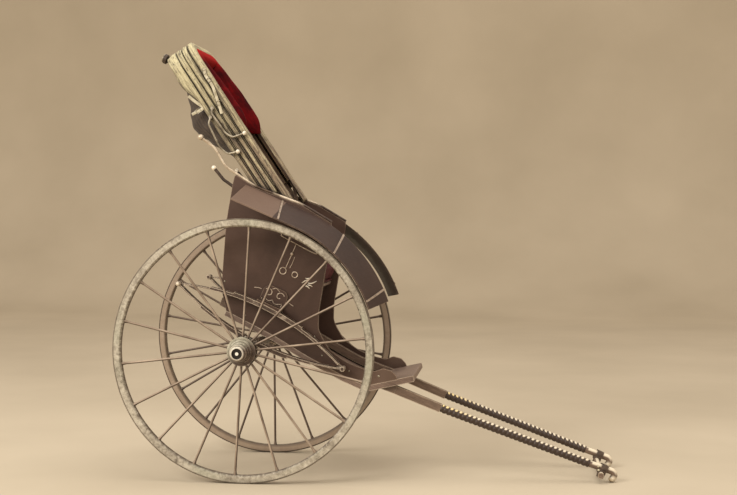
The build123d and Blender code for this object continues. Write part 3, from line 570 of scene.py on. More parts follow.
def spoke_look():
    """Tan rods with painted shade, dark on the side towards the cart and on the side away from the light."""
    look = Look("spoke", 0.1, turned=False)
    patches = look.cloud(9.0, 4.0, 0.55)
    look.start(patches, (0.3, 0.5, 0.72), (118, 100, 84), (150, 132, 114), (186, 168, 148))
    # Painted shade: darker on the side towards the cart and on the side away from the light
    look.lay((78, 61, 50), look.span(look.outward(), 0.1, -0.5, 0.0, 0.75))
    look.lay((62, 48, 39), look.span(look.facing(spoke_light_side), 0.1, -0.4, 0.0, 0.9))
    look.shade_hollows(0.03, 0.7, (46, 36, 30))
    look.bump(look.cloud(60.0, 5.0), 0.12, 0.0006, 0.0008)
    return look.done((patches, 0.42, 0.6))


def tyre_look():
    """Iron band, scuffed across its tread."""
    look = Look("tyre", 0.55, turned=False)
    scuffs = look.cloud(6.0, 6.0, 0.7, 0.4, look.space((30, 4, 30)))
    mottle = look.cloud(40.0, 6.0, 0.6)
    look.start(look.mix(0.5, scuffs, mottle), (0.33, 0.52, 0.72),
               (88, 78, 68), (134, 124, 110), (172, 162, 146))
    # Painted shade: darker on the face towards the cart
    look.lay((74, 60, 50), look.span(look.outward(), 0.25, -0.35, 0.0, 0.8))
    look.shade_hollows(0.02, 0.6, (40, 34, 30))
    look.bump(scuffs, 0.2, 0.0008, 0.001)
    return look.done((mottle, 0.4, 0.62))


def hub_look():
    """Turned hub with painted light: pale on the side towards the light and brown on the other, with lips painted
    pale as wear and painted highlight.
    """
    look = Look("hub", 0.05, turned=False)
    mottle = look.cloud(34.0, 6.0, 0.62, 0.4)
    places = (0.32, 0.52, 0.74)
    look.start(mottle, places, (64, 50, 42), (88, 71, 60), (112, 94, 80))
    # Painted light: the pale copy is laid on the side towards the light, the brown one stays on the other
    look.lay(look.ramp(mottle, places, (150, 144, 126), (190, 186, 166), (218, 214, 196)),
             look.shaded(hub_shade_width))
    # Pale lips: worn paint, and painted highlight
    look.lay((206, 200, 182), look.edges(0.0025, 5.0, 0.7), look.span(mottle, 0.36, 0.55, 0.35, 1.0))
    look.shade_hollows(0.012, 0.8, (44, 34, 28))
    look.bump(mottle, 0.12, 0.0008, 0.0012)
    return look.done((mottle, 0.38, 0.58))


def hub_cap_look():
    """Worn cap with painted light, pale on the side towards the light, a pale lip, a recess painted dark as shade
    and a bright bolt in it.
    """
    look = Look("hub_cap", 0.1, turned=False)
    mottle = look.cloud(60.0, 6.0, 0.62, 0.4)
    places = (0.32, 0.52, 0.74)
    look.start(mottle, places, (84, 72, 62), (116, 102, 90), (146, 132, 118))
    # Painted light: the pale copy is laid on the side towards the light
    look.lay(look.ramp(mottle, places, (164, 158, 142), (204, 198, 182), (232, 228, 212)),
             look.shaded(cap_shade_width))
    reach = look.from_axle()
    look.lay((226, 220, 204), look.span(reach, *cap_recess, 0.0, 0.6), look.span(reach, *cap_lip))
    look.shade_hollows(0.006, 0.7, (52, 42, 35))
    # Painted shade: the recess is painted near black
    look.lay((34, 27, 23), look.span(reach, *reversed(cap_recess)))
    look.lay((240, 236, 224), look.span(reach, *cap_bolt))
    look.bump(mottle, 0.1, 0.0005, 0.0008)
    return look.done((mottle, 0.3, 0.48))


def brass_look(name, pale, middle, dark):
    """Worn brass or gilt, pale where it catches the light and brown in its hollows."""
    look = Look(name, 0.2)
    mottle = look.cloud(42.0, 6.0, 0.6, 0.3)
    look.start(mottle, (0.32, 0.5, 0.7), dark, middle, pale)
    look.shade_hollows(0.01, 0.75, (62, 46, 30))
    look.bump(look.cloud(210.0, 3.0), 0.12, 0.0004, 0.0008)
    return look.done((mottle, 0.26, 0.46))


def rail_look():
    """Rail: pale brass at its rear end and along the body, brown in between and in front."""
    look = Look("rail", 0.4)
    mottle = look.cloud(36.0, 6.0, 0.62, 0.3)
    look.start(mottle, (0.32, 0.5, 0.7), (156, 138, 116), (192, 176, 154), (222, 210, 190))
    along = look.plus(look.part("X"), look.times(look.cloud(30.0), 0.03))
    look.lay(look.ramp(mottle, (0.35, 0.7), (60, 46, 36), (96, 76, 58)),
             look.span(along, *rail_brown_start), look.span(along, *rail_brown_end))
    look.lay(look.ramp(mottle, (0.35, 0.7), (52, 38, 31), (84, 66, 54)),
             look.span(along, rail_bright_end - 0.012, rail_bright_end + 0.03))
    look.shade_hollows(0.012, 0.7, (58, 42, 30))
    look.bump(look.cloud(180.0, 3.0), 0.12, 0.0004)
    return look.done((mottle, 0.26, 0.44))


def hood_look(name, lit, middle, dim, line):
    """Oiled cloth: yellow-olive at its outer end, grey-brown towards the pivot, streaked and cracked, with painted
    highlights on light streaks and painted shade on its downward faces.
    """
    look = Look(name, turned=False)
    spread = look.cloud(9.0, 6.0, 0.62, 0.8)
    crease = look.cloud(5.5, 8.0, 0.72, 1.4, look.space((7, 7, 7)))
    streak = look.cloud(1.0, 5.0, 0.66, 0.7, look.cloth_space((7.0, 7.0, 150.0)))
    crack = look.cloud(1.0, 7.0, 0.74, 1.2, look.cloth_space((16.0, 16.0, 90.0)))
    along, _ = look.cloth_place()
    look.start(look.swayed(look.span(along, 0.2, 0.74), spread, 0.8), (0.02, 0.45, 0.95), dim, middle, lit)
    look.lay(line, look.span(streak, 0.53, 0.58), look.span(along, 0.25, 0.74, 1.0, 0.6))
    # Painted highlight: light streaks in the lit tone
    look.lay(lit, look.span(streak, 0.46, 0.4), look.span(along, 0.25, 0.7, 0.75, 0.6))
    look.lay(line, look.span(crack, 0.54, 0.6, 0.0, 0.75))
    look.lay(line, look.span(crease, 0.52, 0.66, 0.0, 0.5))
    # Painted shade: darker on the faces that turn down, away from the light
    look.lay(line, look.span(look.facing(tuple(-hood_across)), 0.0, 0.9, 0.0, 0.6))
    look.shade_hollows(0.02, 0.85, (40, 33, 25))
    for pattern, strength, depth in ((streak, 0.6, 0.004), (crack, 0.5, 0.004), (crease, 0.45, 0.005),
                                     (look.weave(), 0.12, 0.0005)):
        look.bump(pattern, strength, depth)
    return look.done((spread, 0.5, 0.72), Sheen_Weight=0.08, Sheen_Roughness=0.4)


def lining_look(name, near_pivot=False):
    """Crimson lining, with a painted highlight brighter at its tip and painted shade where it turns under;
    near_pivot bares the cloth there.
    """
    look = Look(name, turned=False)
    along, _ = look.cloth_place()
    streak = look.cloud(1.0, 4.0, 0.6, 0.6, look.cloth_space((8.0, 8.0, 60.0)))
    folds = look.mix(0.5, look.cloud(13.0, 6.0, 0.6, 0.7), streak)
    look.start(folds, (0.36, 0.5, 0.64), (46, 2, 5), (80, 4, 8), (116, 6, 12))
    # Painted highlight: the tip laid brighter red
    look.lay((176, 20, 18), look.span(along, 0.68, 0.75, 0.0, 0.8))
    if near_pivot:
        start = lining_start / 1000
        look.lay(look.ramp(streak, (0.4, 0.5, 0.62), (72, 58, 46), (124, 108, 86), (150, 136, 108)),
                 look.span(along, start + 0.01, start - 0.01))
    look.shade_hollows(0.03, 0.6, (36, 5, 10))
    look.bump(folds, 0.4, 0.004)
    look.bump(look.cloud(420.0, 2.0, 0.6), 0.14, 0.0004)
    return look.done(0.85, Specular_IOR_Level=0.12)


def velvet_look():
    """Dark red velvet, crushed in places."""
    look = Look("seat_velvet")
    crush = look.cloud(15.0, 7.0, 0.65, 1.2)
    look.start(crush, (0.34, 0.52, 0.72), (34, 6, 10), (56, 10, 15), (84, 17, 23))
    look.shade_hollows(0.04, 0.65, (30, 5, 8))
    look.bump(crush, 0.18, 0.003)
    look.bump(look.cloud(520.0, 2.0, 0.6), 0.2, 0.0005)
    return look.done(0.86, Sheen_Weight=0.3, Sheen_Roughness=0.35, Sheen_Tint=(170, 66, 70))


def binding_look():
    """Wound binding, dark between the turns, with a painted highlight on each turn's upper crest: gold, and
    further on cream.
    """
    look = Look("binding")
    fibre = look.cloud(4.0, 5.0, 0.65, space=look.space((120, 12, 12)))
    crest = look.add("ShaderNodeAttribute", attribute_name="crest").outputs["Fac"]
    # Painted highlight: the crest of each turn on its upper side, towards the light, is laid gold and cream
    worn = look.times(look.span(crest, 0.15, 0.45), look.span(look.facing(binding_highlight_side), 0.78, 0.95))
    worn = look.swayed(worn, look.cloud(60.0), 0.4)
    places = (0.2, 0.45, 0.7, 0.95)
    look.start(worn, places, (58, 44, 36), (110, 88, 60), (214, 186, 122), (246, 226, 168))
    look.lay(look.ramp(worn, places, (58, 44, 36), (106, 88, 70), (206, 192, 164), (238, 228, 206)),
             look.span(look.part("X"), binding_gold_end - 0.07, binding_gold_end + 0.07))
    look.lay((62, 45, 32), fibre, 0.22)
    look.bump(fibre, 0.25, 0.0007)
    return look.done((fibre, 0.38, 0.6))


def leather_look(name, dark, light):
    """Strap leather with a fine grain and worn edges."""
    look = Look(name)
    mottle = look.cloud(30.0, 6.0, 0.6, 0.4)
    look.start(mottle, (0.35, 0.68), dark, light)
    look.lay(light, look.edges(0.001, 4.0, 0.6))
    look.bump(look.cells(640.0), 0.3, 0.0004)
    return look.done((mottle, 0.42, 0.6))


def floor_look():
    """Plain pale studio floor and wall."""
    look = Look("floor", turned=False)
    look.start(look.cloud(0.7, 5.0, 0.5), (0.3, 0.7), (190, 178, 156), (204, 192, 170))
    look.bump(look.cloud(60.0, 4.0), 0.05, 0.002)
    return look.done(0.9)


# Finishes by the slots of the cart's materials
looks = {
    # The springs' leaf edges are laid near white and wide, as painted highlights
    "spring_iron": iron_look("spring_iron", (58, 45, 37), (84, 67, 56), (240, 222, 198), metallic=0.05,
                             rust=0.1, rust_tone=(96, 76, 62), edge=0.0055),
    # Body lacquer: paler forward of cheek_start, which is painted light on the upward-facing cheek
    "body_lacquer": lacquer_look("body_lacquer", (57, 42, 35), (76, 57, 48), (98, 78, 67), (178, 156, 134),
                                 (cheek_start, 0.12, (106, 87, 75))),
    "board_wood": wood_look("board_wood", (82, 66, 57), (126, 105, 92), (156, 135, 120), (230, 213, 190)),
    "seat_velvet": velvet_look(),
    "brass_rail": rail_look(),
    "fender_lacquer": lacquer_look("fender_lacquer", (42, 29, 25), (57, 41, 35), (74, 56, 48),
                                   (140, 120, 102), (fender_rear_edge, -0.002, (124, 102, 88)), gloss=0.42),
    "shaft_wood": wood_look("shaft_wood", (72, 57, 48), (116, 96, 81), (148, 127, 110), (204, 186, 160),
                            painted_highlight=(240, 228, 204)),
    "binding": binding_look(),
    "bright_iron": iron_look("bright_iron", (110, 102, 88), (168, 160, 142), (214, 206, 188), metallic=0.85,
                             rust=0.12, gloss=0.3),
    "hood_cloth": hood_look("hood_cloth", (197, 188, 150), (158, 146, 114), (136, 117, 94), (70, 57, 45)),
    "dark_iron": iron_look("dark_iron", (38, 30, 26), (68, 56, 48), (118, 104, 90), metallic=0.4, rust=0.2),
    "bow_wood": wood_look("bow_wood", (46, 34, 25), (84, 64, 48), (118, 96, 70), (160, 136, 100)),
    "tyre_iron": tyre_look(),
    "wheel_paint": rim_look(),
    "spoke_iron": spoke_look(),
    "crossbar_cord": leather_look("crossbar_cord", (58, 46, 38), (104, 86, 70)),
}

# Finishes of single subcomponents, by the end of their names, and of pieces that are made here
own_finishes = {
    "hub": hub_look(),
    "hub_cap": hub_cap_look(),
    "shaft_caps": brass_look("shaft_cap", (244, 236, 218), (226, 214, 190), (184, 166, 138)),
}
curtain_finish = hood_look("curtain", (96, 82, 64), (74, 61, 51), (64, 53, 45), (46, 37, 32))
lining_finish = lining_look("lining")
inside_finish = lining_look("hood_inside", near_pivot=True)
inlay_finish = brass_look("inlay", (226, 208, 188), (198, 180, 160), (160, 142, 124))
fender_iron_finish = brass_look("fender_iron", (184, 167, 150), (158, 141, 125), (127, 111, 97))
# Near-white finish: pale inlay and balls, and painted highlight on the curled irons' knobs
pale_and_highlight_finish = brass_look("pearl", (248, 242, 228), (230, 220, 200), (186, 170, 144))
strap_finish = leather_look("strap", (150, 140, 114), (212, 204, 178))

for part in frame["record"]["subparts"]:
    node = nodes[part["node"]]
    node.data.materials.clear()
    own = own_finishes.get(part["node"]) or own_finishes.get(part["node"].split("_", 2)[-1])
    node.data.materials.append(own or looks[part["material_slot"]])


# Hood cloth. Its profiles are rows of places outwards from the cloth's path and level across the legs.
cloth_thickness = 0.0012
rib_root = -5.0
crest_rise = 17.0
rear_roll = 9.6
rear_roll_swell = 25.0

# Wrinkles: where they set in and are full along the legs, the dents' depth and the fine ones' height
wrinkle_start = 260.0
wrinkle_full = 700.0
dent_depth = 3.6
fine_wrinkle = 0.8

# Back curtain: half its width, its columns, and the line of its sag along the hood and across it
curtain_half_width = 192.0
curtain_columns = 64
curtain_sag = (
    (252.0, -64.0), (268.0, -71.0), (304.0, -83.0), (338.0, -104.0), (367.0, -116.0), (405.0, -130.0),
    (447.0, -150.0), (489.0, -156.0), (528.0, -141.0), (562.0, -119.0), (607.0, -102.0), (650.0, -92.0),
    (697.0, -85.0), (740.0, -76.0), (766.0, -66.0))

# Straps over the folded hood: their paths along it and across it, and the buckles' places and turns
strap_offset = 217.0
strap_end_offset = 212.0
strap_radius = 0.0065
strap_flatness = 0.26
buckle_lift = 2.4
strap_path = ((655.0, 36.0), (625.0, 25.0), (580.0, 26.0), (536.0, 17.0), (488.0, 4.0), (453.0, -6.0))
strap_end_path = (
    (596.0, -86.0), (560.0, -74.0), (524.0, -60.0), (517.0, -66.0), (520.0, -90.0), (522.0, -116.0))
strap_buckles = ((640.0, 30.0, 0.35), (602.0, 27.0, 0.0), (498.0, 7.0, 0.4))
strap_end_buckle = (519.0, -84.0, 0.0)


def bow_path(start):
    """Rows of (along, y, outward along, outward y) round the hood, from its right legs to its left ones."""
    rows = []
    for i in range(leg_steps):
        rows.append((start + (bow_reach - bow_corner - start) * i / leg_steps, -cloth_half_width, 0.0, -1.0))
    for i in range(corner_steps + 1):
        angle = pi / 2 * i / corner_steps
        rows.append((bow_reach - bow_corner + bow_corner * sin(angle),
                     -cloth_half_width + bow_corner - bow_corner * cos(angle), sin(angle), -cos(angle)))
    for i in range(1, end_steps):
        rows.append((bow_reach, (cloth_half_width - bow_corner) * (2 * i / end_steps - 1), 1.0, 0.0))
    mirrored = [(a, -y, n, -m) for a, y, n, m in reversed(rows[:leg_steps + corner_steps + 1])]
    return rows + mirrored


def uneven(seed, length, scale=0.012):
    """Gentle unevenness along a fold, from -1 to 1."""
    return noise.noise(Vector((length * scale, seed * 7.31, 1.7)))


def own_shift(name):
    """Shift of a piece's texture and wrinkles, so that no two ribs wear the same ones."""
    return 0.37 * int(name[-1]) if name[-1].isdigit() else 0.0


def cloth_piece(name, rows, lengths, material, inner=None):
    """Cloth from rows of (along, y, across) places, with its flat width and length in metres."""
    obj = Form().grid([[at_hood(*place) for place in row] for row in rows]).plain(name, material)
    mesh = obj.data
    area = sum(face.area for face in mesh.polygons)
    layer = mesh.uv_layers.new(name="UVMap")
    across = run_lengths(rows[len(rows) // 2])
    for loop in mesh.loops:
        row, column = divmod(loop.vertex_index, len(rows[0]))
        layer.data[loop.index].uv = (rows[row][column][0] / 1000, across[column] / 1000 + own_shift(name))
    modifier = obj.modifiers.new("thickness", "SOLIDIFY")
    modifier.thickness = cloth_thickness
    modifier.offset = 0.0
    if inner:
        mesh.materials.append(inner)
        modifier.material_offset = 1
    bake(obj)
    run = lengths[-1] / 1000
    return obj, (round(area / run, 4), round(run, 4))


def hood_strip(name, profile_at, start, material, inner=None, wrinkle=1.0):
    """Cloth round the hood; profile_at gives its profile for a place on the path."""
    path = bow_path(start)
    lengths = run_lengths([place[:2] for place in path])
    shift = own_shift(name)
    rows = []
    for (a, y, out_along, out_y), length in zip(path, lengths):
        loose = wrinkle * eased(a, wrinkle_start, wrinkle_full)
        row = []
        for place in smooth_line([(out, level, 0) for out, level in profile_at(a, length)], 3):
            dent = noise.noise(Vector((length * 0.016 + place.y * 0.03, place.y * 0.13, shift)))
            small = noise.noise(Vector((length * 0.06, place.y * 0.16, 7.0 + shift)))
            rough = 1.0 - dent_depth * max(dent, 0.0) ** 0.6 + fine_wrinkle * small
            out = place.x + loose * rough if place.x > -2.0 else place.x
            row.append((a + out_along * out, y + out_y * out, place.y))
        rows.append(row)
    return cloth_piece(name, rows, lengths, material, inner)


def rib_shape(number, along, length):
    """Swell outwards, half height and middle level of the rib of cloth over a bow."""
    loose = eased(along, 230.0, 720.0)
    swell = 6.0 + 1.6 * loose + 1.6 * loose * uneven(number + 1.0, length)
    half = 8.4 + 3.6 * loose + 1.0 * uneven(number + 4.0, length, 0.02)
    middle = bow_levels[number - 1] + 1.5 * loose + 1.6 * loose * uneven(number + 7.0, length)
    return swell, half, middle


def rib_flank(swell, half, middle):
    """Profile of a rib from its root to just before its top; a negative half gives the lower flank."""
    return [(rib_root, middle + half), (swell * 0.35, middle + half * 0.97),
            (swell * 0.85, middle + half * 0.6)]


def middle_rib_profile(number):
    """Soft rib of cloth over a middle bow."""

    def rows(along, length):
        swell, half, middle = rib_shape(number, along, length)
        upper = rib_flank(swell, half, middle)
        return rib_flank(swell, -half, middle) + [(swell, middle)] + upper[::-1]

    return rows


def front_rib_profile(along, length):
    """Rib over the front bow, which turns in over its crest."""
    swell, half, middle = rib_shape(4, along, length)
    base = bow_levels[3]
    crest = base + crest_rise + 1.4 * uneven(21.0, length)
    return rib_flank(swell, -half, middle) + [
        (swell, middle), (swell * 0.9, base + 6.0), (swell * 0.4, base + 12.0), (-5.0, crest - 1.2),
        (-16.0, crest), (-28.0, crest - 0.8), (-38.0, crest - 4.5), (-47.5, base + 5.0)]


def rear_rib_profile(along, length):
    """Rib over the rear bow, which ends in a soft roll under the hood's outer end."""
    swell, half, middle = rib_shape(1, along, length)
    base = bow_levels[0]
    fuller = rear_roll_swell * eased(along, 545.0, 640.0) * (1.0 + 0.2 * uneven(23.0, length, 0.02))
    low = rear_roll + fuller
    return rib_flank(swell, half, middle) + [
        (swell, base + 1.0), (swell * 0.95, base - 3.0 - 0.25 * fuller), (swell * 0.75, base - low * 0.7),
        (swell * 0.3, base - low * 0.93), (-3.5, base - low), (-12.0, base - low * 0.97),
        (-20.0, base - low * 0.86), (-22.0, base - 8.2)]


def gore_profile(number):
    """Pleats between a bow and the next, deeper the further they are from the pivot."""
    base = bow_levels[number - 1]
    gap = (bow_levels[number] - base) / 2
    fold = base + gap

    def rows(along, length):
        deep = 0.083 * min(along, bow_reach) * (0.96 + 0.16 * uneven(number + 3.0, length))
        hidden = 1.2 - 7.0 * eased(along, 330.0, 620.0)
        half = [(-2.0, gap - 5.0), (0.5, 6.5), (-1.0, 4.6), (-deep, 3.0), (-deep - 2.0, 2.2), (-deep, 1.5),
                (hidden - 1.0, 1.2)]
        lower = [(out, fold - away) for out, away in half]
        upper = [(out, fold + away) for out, away in reversed(half)]
        return lower + [(hidden, fold)] + upper

    return rows


def lining_profile(along, length):
    """Crimson lining, full over the front bow and hanging inside it, with a blunt rounded start."""
    base = bow_levels[3]
    crest = base + crest_rise
    rise = 3.0 + 17.0 * (1.0 - eased(along, 500.0, 770.0)) + 2.0 * uneven(31.0, length, 0.02)
    places = [(-24.0, crest - 2.6), (-32.0, crest + 1.0), (-41.0, crest + 0.75 * rise), (-53.0, crest + rise),
              (-66.0, crest + 0.55 * rise), (-77.0, base + 6.0), (-84.0, base - 14.0),
              (-87.0 + 2.5 * uneven(33.0, length, 0.03), base - 40.0), (-84.0, base - 66.0)]
    full = 0.06 + 0.94 * eased(along, lining_start, lining_start + 74.0) ** 0.55
    out_middle, level_middle = -62.0, crest - 8.0
    return [(out_middle + (out - out_middle) * full, level_middle + (level - level_middle) * full)
            for out, level in places]


def make_hood_cloth():
    """Ribs over the bows, pleated gores between them and the lining inside the front one."""
    profiles = (rear_rib_profile, middle_rib_profile(2), middle_rib_profile(3), front_rib_profile)
    for number, (profile, start) in enumerate(zip(profiles, rib_starts), 1):
        rib, flat = hood_strip(f"hood_rib_{number}", profile, start, looks["hood_cloth"])
        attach(rib, f"hood_{number}")
    for number in (1, 2, 3):
        gore, _ = hood_strip(f"hood_gore_{number}", gore_profile(number), cloth_start + 2.0,
                             looks["hood_cloth"], inner=inside_finish, wrinkle=0.0)
        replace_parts(gore, f"hood_cloth_{number}")
        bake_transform(gore)
    lining, flat = hood_strip("hood_lining", lining_profile, lining_start, lining_finish, wrinkle=0.0)
    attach(lining, "hood_4")
    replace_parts(lining, "hood_cloth_4")


def make_curtain():
    """Back curtain, which hangs in a sag from the rear bow to the top of the body's back."""
    line = smooth_line([(along, level, 0) for along, level in curtain_sag], 4)
    top = bow_levels[0] - 8.5
    rows = []
    for along, low, _ in line:
        row = []
        for j in range(curtain_columns + 1):
            share = 2 * j / curtain_columns - 1
            rise = abs(share) ** 9
            folds = 3.0 * noise.noise(Vector((along * 0.03, share * 2.0, 4.0)))
            folds += 2.0 * sin(along * 0.11 + 3.0 * share * share) * (1 - rise)
            depth = low - 6.0 * (1 - share * share) + folds * eased(top - low, 0.0, 30.0)
            bulge = 1.0 - 0.03 * (1 - rise) + 0.012 * sin(along * 0.09) * rise
            row.append((along, curtain_half_width * share * bulge, depth + (top - depth) * rise))
        rows.append(row)
    curtain, flat = cloth_piece("hood_curtain", rows, run_lengths(line), curtain_finish)
    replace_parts(curtain, "hood_back_cloth")
    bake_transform(curtain)


def add_buckle(form, along, across, turn, half, y, radius):
    """Wire of a buckle, turned about its middle and a little higher than it is long."""
    corners = []
    for a, c in ((-half, -half - 1), (half, -half - 1), (half, half + 1), (-half, half + 1)):
        corners.append(at_hood(along + a * cos(turn) - c * sin(turn), y,
                               across + a * sin(turn) + c * cos(turn)))
    form.tube(corners, radius, closed=True)


def make_straps(side):
    """Straps with bright buckles over the folded hood's ribs, and a strap's end that hangs under them."""
    over = [at_hood(a, side * (strap_offset + 1.2 * sin(a * 0.05)), c) for a, c in strap_path]
    end = [at_hood(a, side * strap_end_offset, c) for a, c in strap_end_path]
    for name, points, body in (("strap", over, "hood_3"), ("strap_end", end, "hood_1")):
        strap = Form().tube(smooth_line(points, 5), strap_radius, sides=10, flat=strap_flatness, up=to_left)
        strap.make(f"hood_{name}", "hood_cloth", side, body, strap_finish)
    buckles = Form()
    for place in strap_buckles:
        add_buckle(buckles, *place, 8, side * (strap_offset + buckle_lift), 0.0017)
    buckles.make("hood_buckles", "bright_iron", side, "hood_3")
    buckle = Form()
    add_buckle(buckle, *strap_end_buckle, 9, side * (strap_end_offset + buckle_lift), 0.002)
    buckle.make("hood_strap_buckle", "bright_iron", side, "hood_1")


make_hood_cloth()
make_curtain()
both(make_straps)

# Cushions: the share that their covers start from, the grid of their cloth, how far in metres a cover may
# swell, and how deep and wide its dimples are
cover_share = 0.965
cover_grid = 0.006
cushion_swell = 0.009
filling_steps = 20
dimple_depth = 0.011
dimple_radius = 0.075

# Buttons, along the level cart and above it, and the outline and heights of the seat's piping
button_rows = (-105.0, 0.0, 105.0)
seat_buttons = ((-150.0, 990.0), (-10.0, 990.0))
back_button_rows = (-102.0, 0.0, 102.0)
back_buttons = ((-228.0, 1030.0), (-246.0, 1090.0))
button_radius = 0.011
button_inset = 0.0085
piping_corners = [(-262.0, -205.0), (158.0, -205.0), (158.0, 205.0), (-258.0, 205.0)]
piping_heights = (915.0, 982.0)
piping_radius = 0.0035


def padded_copy(name, source, dimples, outward):
    """Stuffed copy of a cushion's plain solid, filled by a cloth simulation and buttoned at its dimples."""
    low, high = (Vector(corner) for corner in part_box(source))
    centre = (low + high) / 2
    mesh = nodes[source].data.copy()
    mesh.name = name
    for vertex in mesh.vertices:
        vertex.co = centre + (vertex.co - centre) * cover_share
    obj = bpy.data.objects.new(name, mesh)
    bpy.context.scene.collection.objects.link(obj)
    mesh.materials.clear()
    mesh.materials.append(looks["seat_velvet"])
    remesh = obj.modifiers.new("remesh", "REMESH")
    remesh.mode = "VOXEL"
    remesh.voxel_size = cover_grid
    remesh.use_smooth_shade = True
    bake(obj)
    fill_cushion(obj)
    for vertex in obj.data.vertices:
        for dimple in dimples:
            reach = (vertex.co - dimple).length
            if reach < dimple_radius:
                vertex.co -= outward * (dimple_depth * (1.0 - eased(reach, 0.0, dimple_radius)))
    smooth = obj.modifiers.new("smooth", "SUBSURF")
    smooth.levels = 1
    bake(obj)
    smooth_faces(obj.data)
    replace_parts(obj, source)
    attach(obj, "carriage")


def fill_cushion(obj):
    """Blows a cushion's cover up, with no point going far from where it started."""
    start = [vertex.co.copy() for vertex in obj.data.vertices]
    cloth = obj.modifiers.new("filling", "CLOTH")
    cloth.settings.use_pressure = True
    cloth.settings.uniform_pressure_force = 4.0
    cloth.settings.effector_weights.gravity = 0.0
    cloth.settings.quality = 4
    cloth.point_cache.frame_end = filling_steps
    for step in range(filling_steps):
        bpy.context.scene.frame_set(step + 1)
    bake(obj)
    for vertex, first in zip(obj.data.vertices, start):
        moved = vertex.co - first
        if moved.length > cushion_swell:
            vertex.co = first + moved.normalized() * cushion_swell
    bpy.context.scene.frame_set(1)


def make_cushions():
    """Seat and back cushions with drawn-in buttons, and piping along the seat's edges."""
    buttons = Form()
    for name, places, rows, outward in (("seat", seat_buttons, button_rows, level_up),
                                        ("back", back_buttons, back_button_rows, level_forward)):
        spots = [at_level(x, y, z) for x, z in places for y in rows]
        padded_copy(f"{name}_pad", f"{name}_cushion", spots, outward)
        for spot in spots:
            buttons.ball(spot - outward * button_inset, button_radius, axis=outward, squash=0.45)
    buttons.make("cushion_buttons", "seat_velvet")
    piping = Form()
    for z in piping_heights:
        run = []
        for (ax, ay), (bx, by) in zip(piping_corners, piping_corners[1:] + piping_corners[:1]):
            run += [at_level(ax + (bx - ax) * k / 6, ay + (by - ay) * k / 6, z) for k in range(6)]
        piping.tube(run, piping_radius, closed=True)
    piping.make("cushion_piping", "seat_velvet")


make_cushions()

# Shaft bindings: the bound stretch along and above, and how a shaft turns outwards from its place in the body
binding_ends = ((843.0, 652.0), (1500.0, 693.0))
shaft_turn_x = 640.0
shaft_offset = 203.0
shaft_swing = radians(3.083)
binding_turns = 33
binding_radius = 0.0152
binding_crest = 0.0026
binding_sides = 24

# Crossbar's lashing, in millimetres: the cord, its turns, and the middles of the shaft and the bar under it
cord = 2.4
lashing_turns = 6
lashing_x = 1558.8
lashing_y = 153.6
lashed_shaft_z = 697.6
crossbar_z = 672.2
lashed_shaft_radius = 14.6
crossbar_radius = 12.0
lashing_knots = ((1536.0, 172.0, 700.0, 0.0042), (1543.0, 174.0, 686.5, 0.0048))


def binding_place(side, x, z):
    """Parked place on the middle line of a shaft."""
    turn = -side * shaft_swing
    reach = x - shaft_turn_x
    return at_level(shaft_turn_x + reach * cos(turn), side * shaft_offset + reach * sin(turn), z)


def make_binding(side):
    """Strip wound round a shaft, with a rounded ridge for each turn."""
    start, end = (binding_place(side, *place) for place in binding_ends)
    line = end - start
    axis = line.normalized()
    upper = (level_up - axis * axis.dot(level_up)).normalized()
    other = axis.cross(upper)
    steps = binding_turns * 16
    rows = []
    crests = []
    for i in range(steps + 1):
        turn = i * binding_turns / steps
        row = []
        for k in range(binding_sides):
            angle = 2 * pi * k / binding_sides
            phase = (turn - side * k / binding_sides) % 1.0
            crest = max(0.0, sin(pi * min(phase / 0.74, 1.0))) ** 0.6
            crest *= eased(turn, 0.0, 0.3) * (1 - eased(turn, binding_turns - 0.3, binding_turns))
            radius = binding_radius + binding_crest * crest
            spoke = upper * (radius * cos(angle)) + other * (radius * sin(angle))
            row.append(start + line * (i / steps) + spoke)
            crests.append(crest)
        rows.append(row)
    obj = Form().grid(rows, closed_rows=True).plain(f"shaft_binding_{side_name(side)}", looks["binding"])
    obj.data.attributes.new("crest", "FLOAT", "POINT").data.foreach_set("value", crests)
    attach(obj, "carriage")
    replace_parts(obj, "shaft_bindings")


def make_lashing(side):
    """Cord wound round a shaft and the crossbar under it, with three more turns between them."""
    lashing = Form()
    reach = lashed_shaft_radius + cord
    drop = lashed_shaft_z - (crossbar_z - crossbar_radius - cord)
    path = []
    for i in range(lashing_turns * 24 + 1):
        up = cos(2 * pi * i / 24)
        out = sin(2 * pi * i / 24)
        x = lashing_x - (lashing_turns - 1) * cord + 2 * cord * i / 24
        y = side * lashing_y + reach * copysign(abs(out) ** 0.8, out)
        path.append(at_level(x, y, lashed_shaft_z + (reach * up if up > 0 else drop * up)))
    lashing.tube(path, cord / 1000)
    for k in range(3):
        level = (lashed_shaft_z + crossbar_z) / 2 + 2.0 - k * 2 * cord
        middle = at_level(lashing_x, side * lashing_y, level)
        ring = circle(middle, level_forward, to_left, 0.0174, 0.0194, 20)
        lashing.tube(ring, cord / 1000, closed=True)
    piece = lashing.make("crossbar_lashing", "binding", side, finish=looks["crossbar_cord"])
    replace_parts(piece, "crossbar_lashings")


def make_lashing_knots(side):
    """Pale knots that end a lashing's cord on its outer side."""
    knots = Form()
    for x, y, z, radius in lashing_knots:
        knots.ball(at_level(x, side * y, z), radius, axis=to_left, squash=0.8)
    knots.make("lashing_knots", "binding", side, finish=strap_finish)


both(make_binding)
both(make_lashing)
both(make_lashing_knots)

# Fenders, in millimetres: their edges' radii about the axle, the outer edge's offset from the cart's middle,
# and the run of the level rear part for each degree past 90. Irons lie across them between two angles.
fender_outer_radius = 566.0
fender_inner_radius = 630.0
fender_outer_offset = 402.0
wheel_height = 550.0
level_run = 10.0
fender_irons = ((97.3, 101.4), (70.0, 73.4), (45.9, 47.4))
iron_section = ((-0.41, -0.5), (-0.41, 2.6), (0.41, 2.6), (0.41, -0.5))


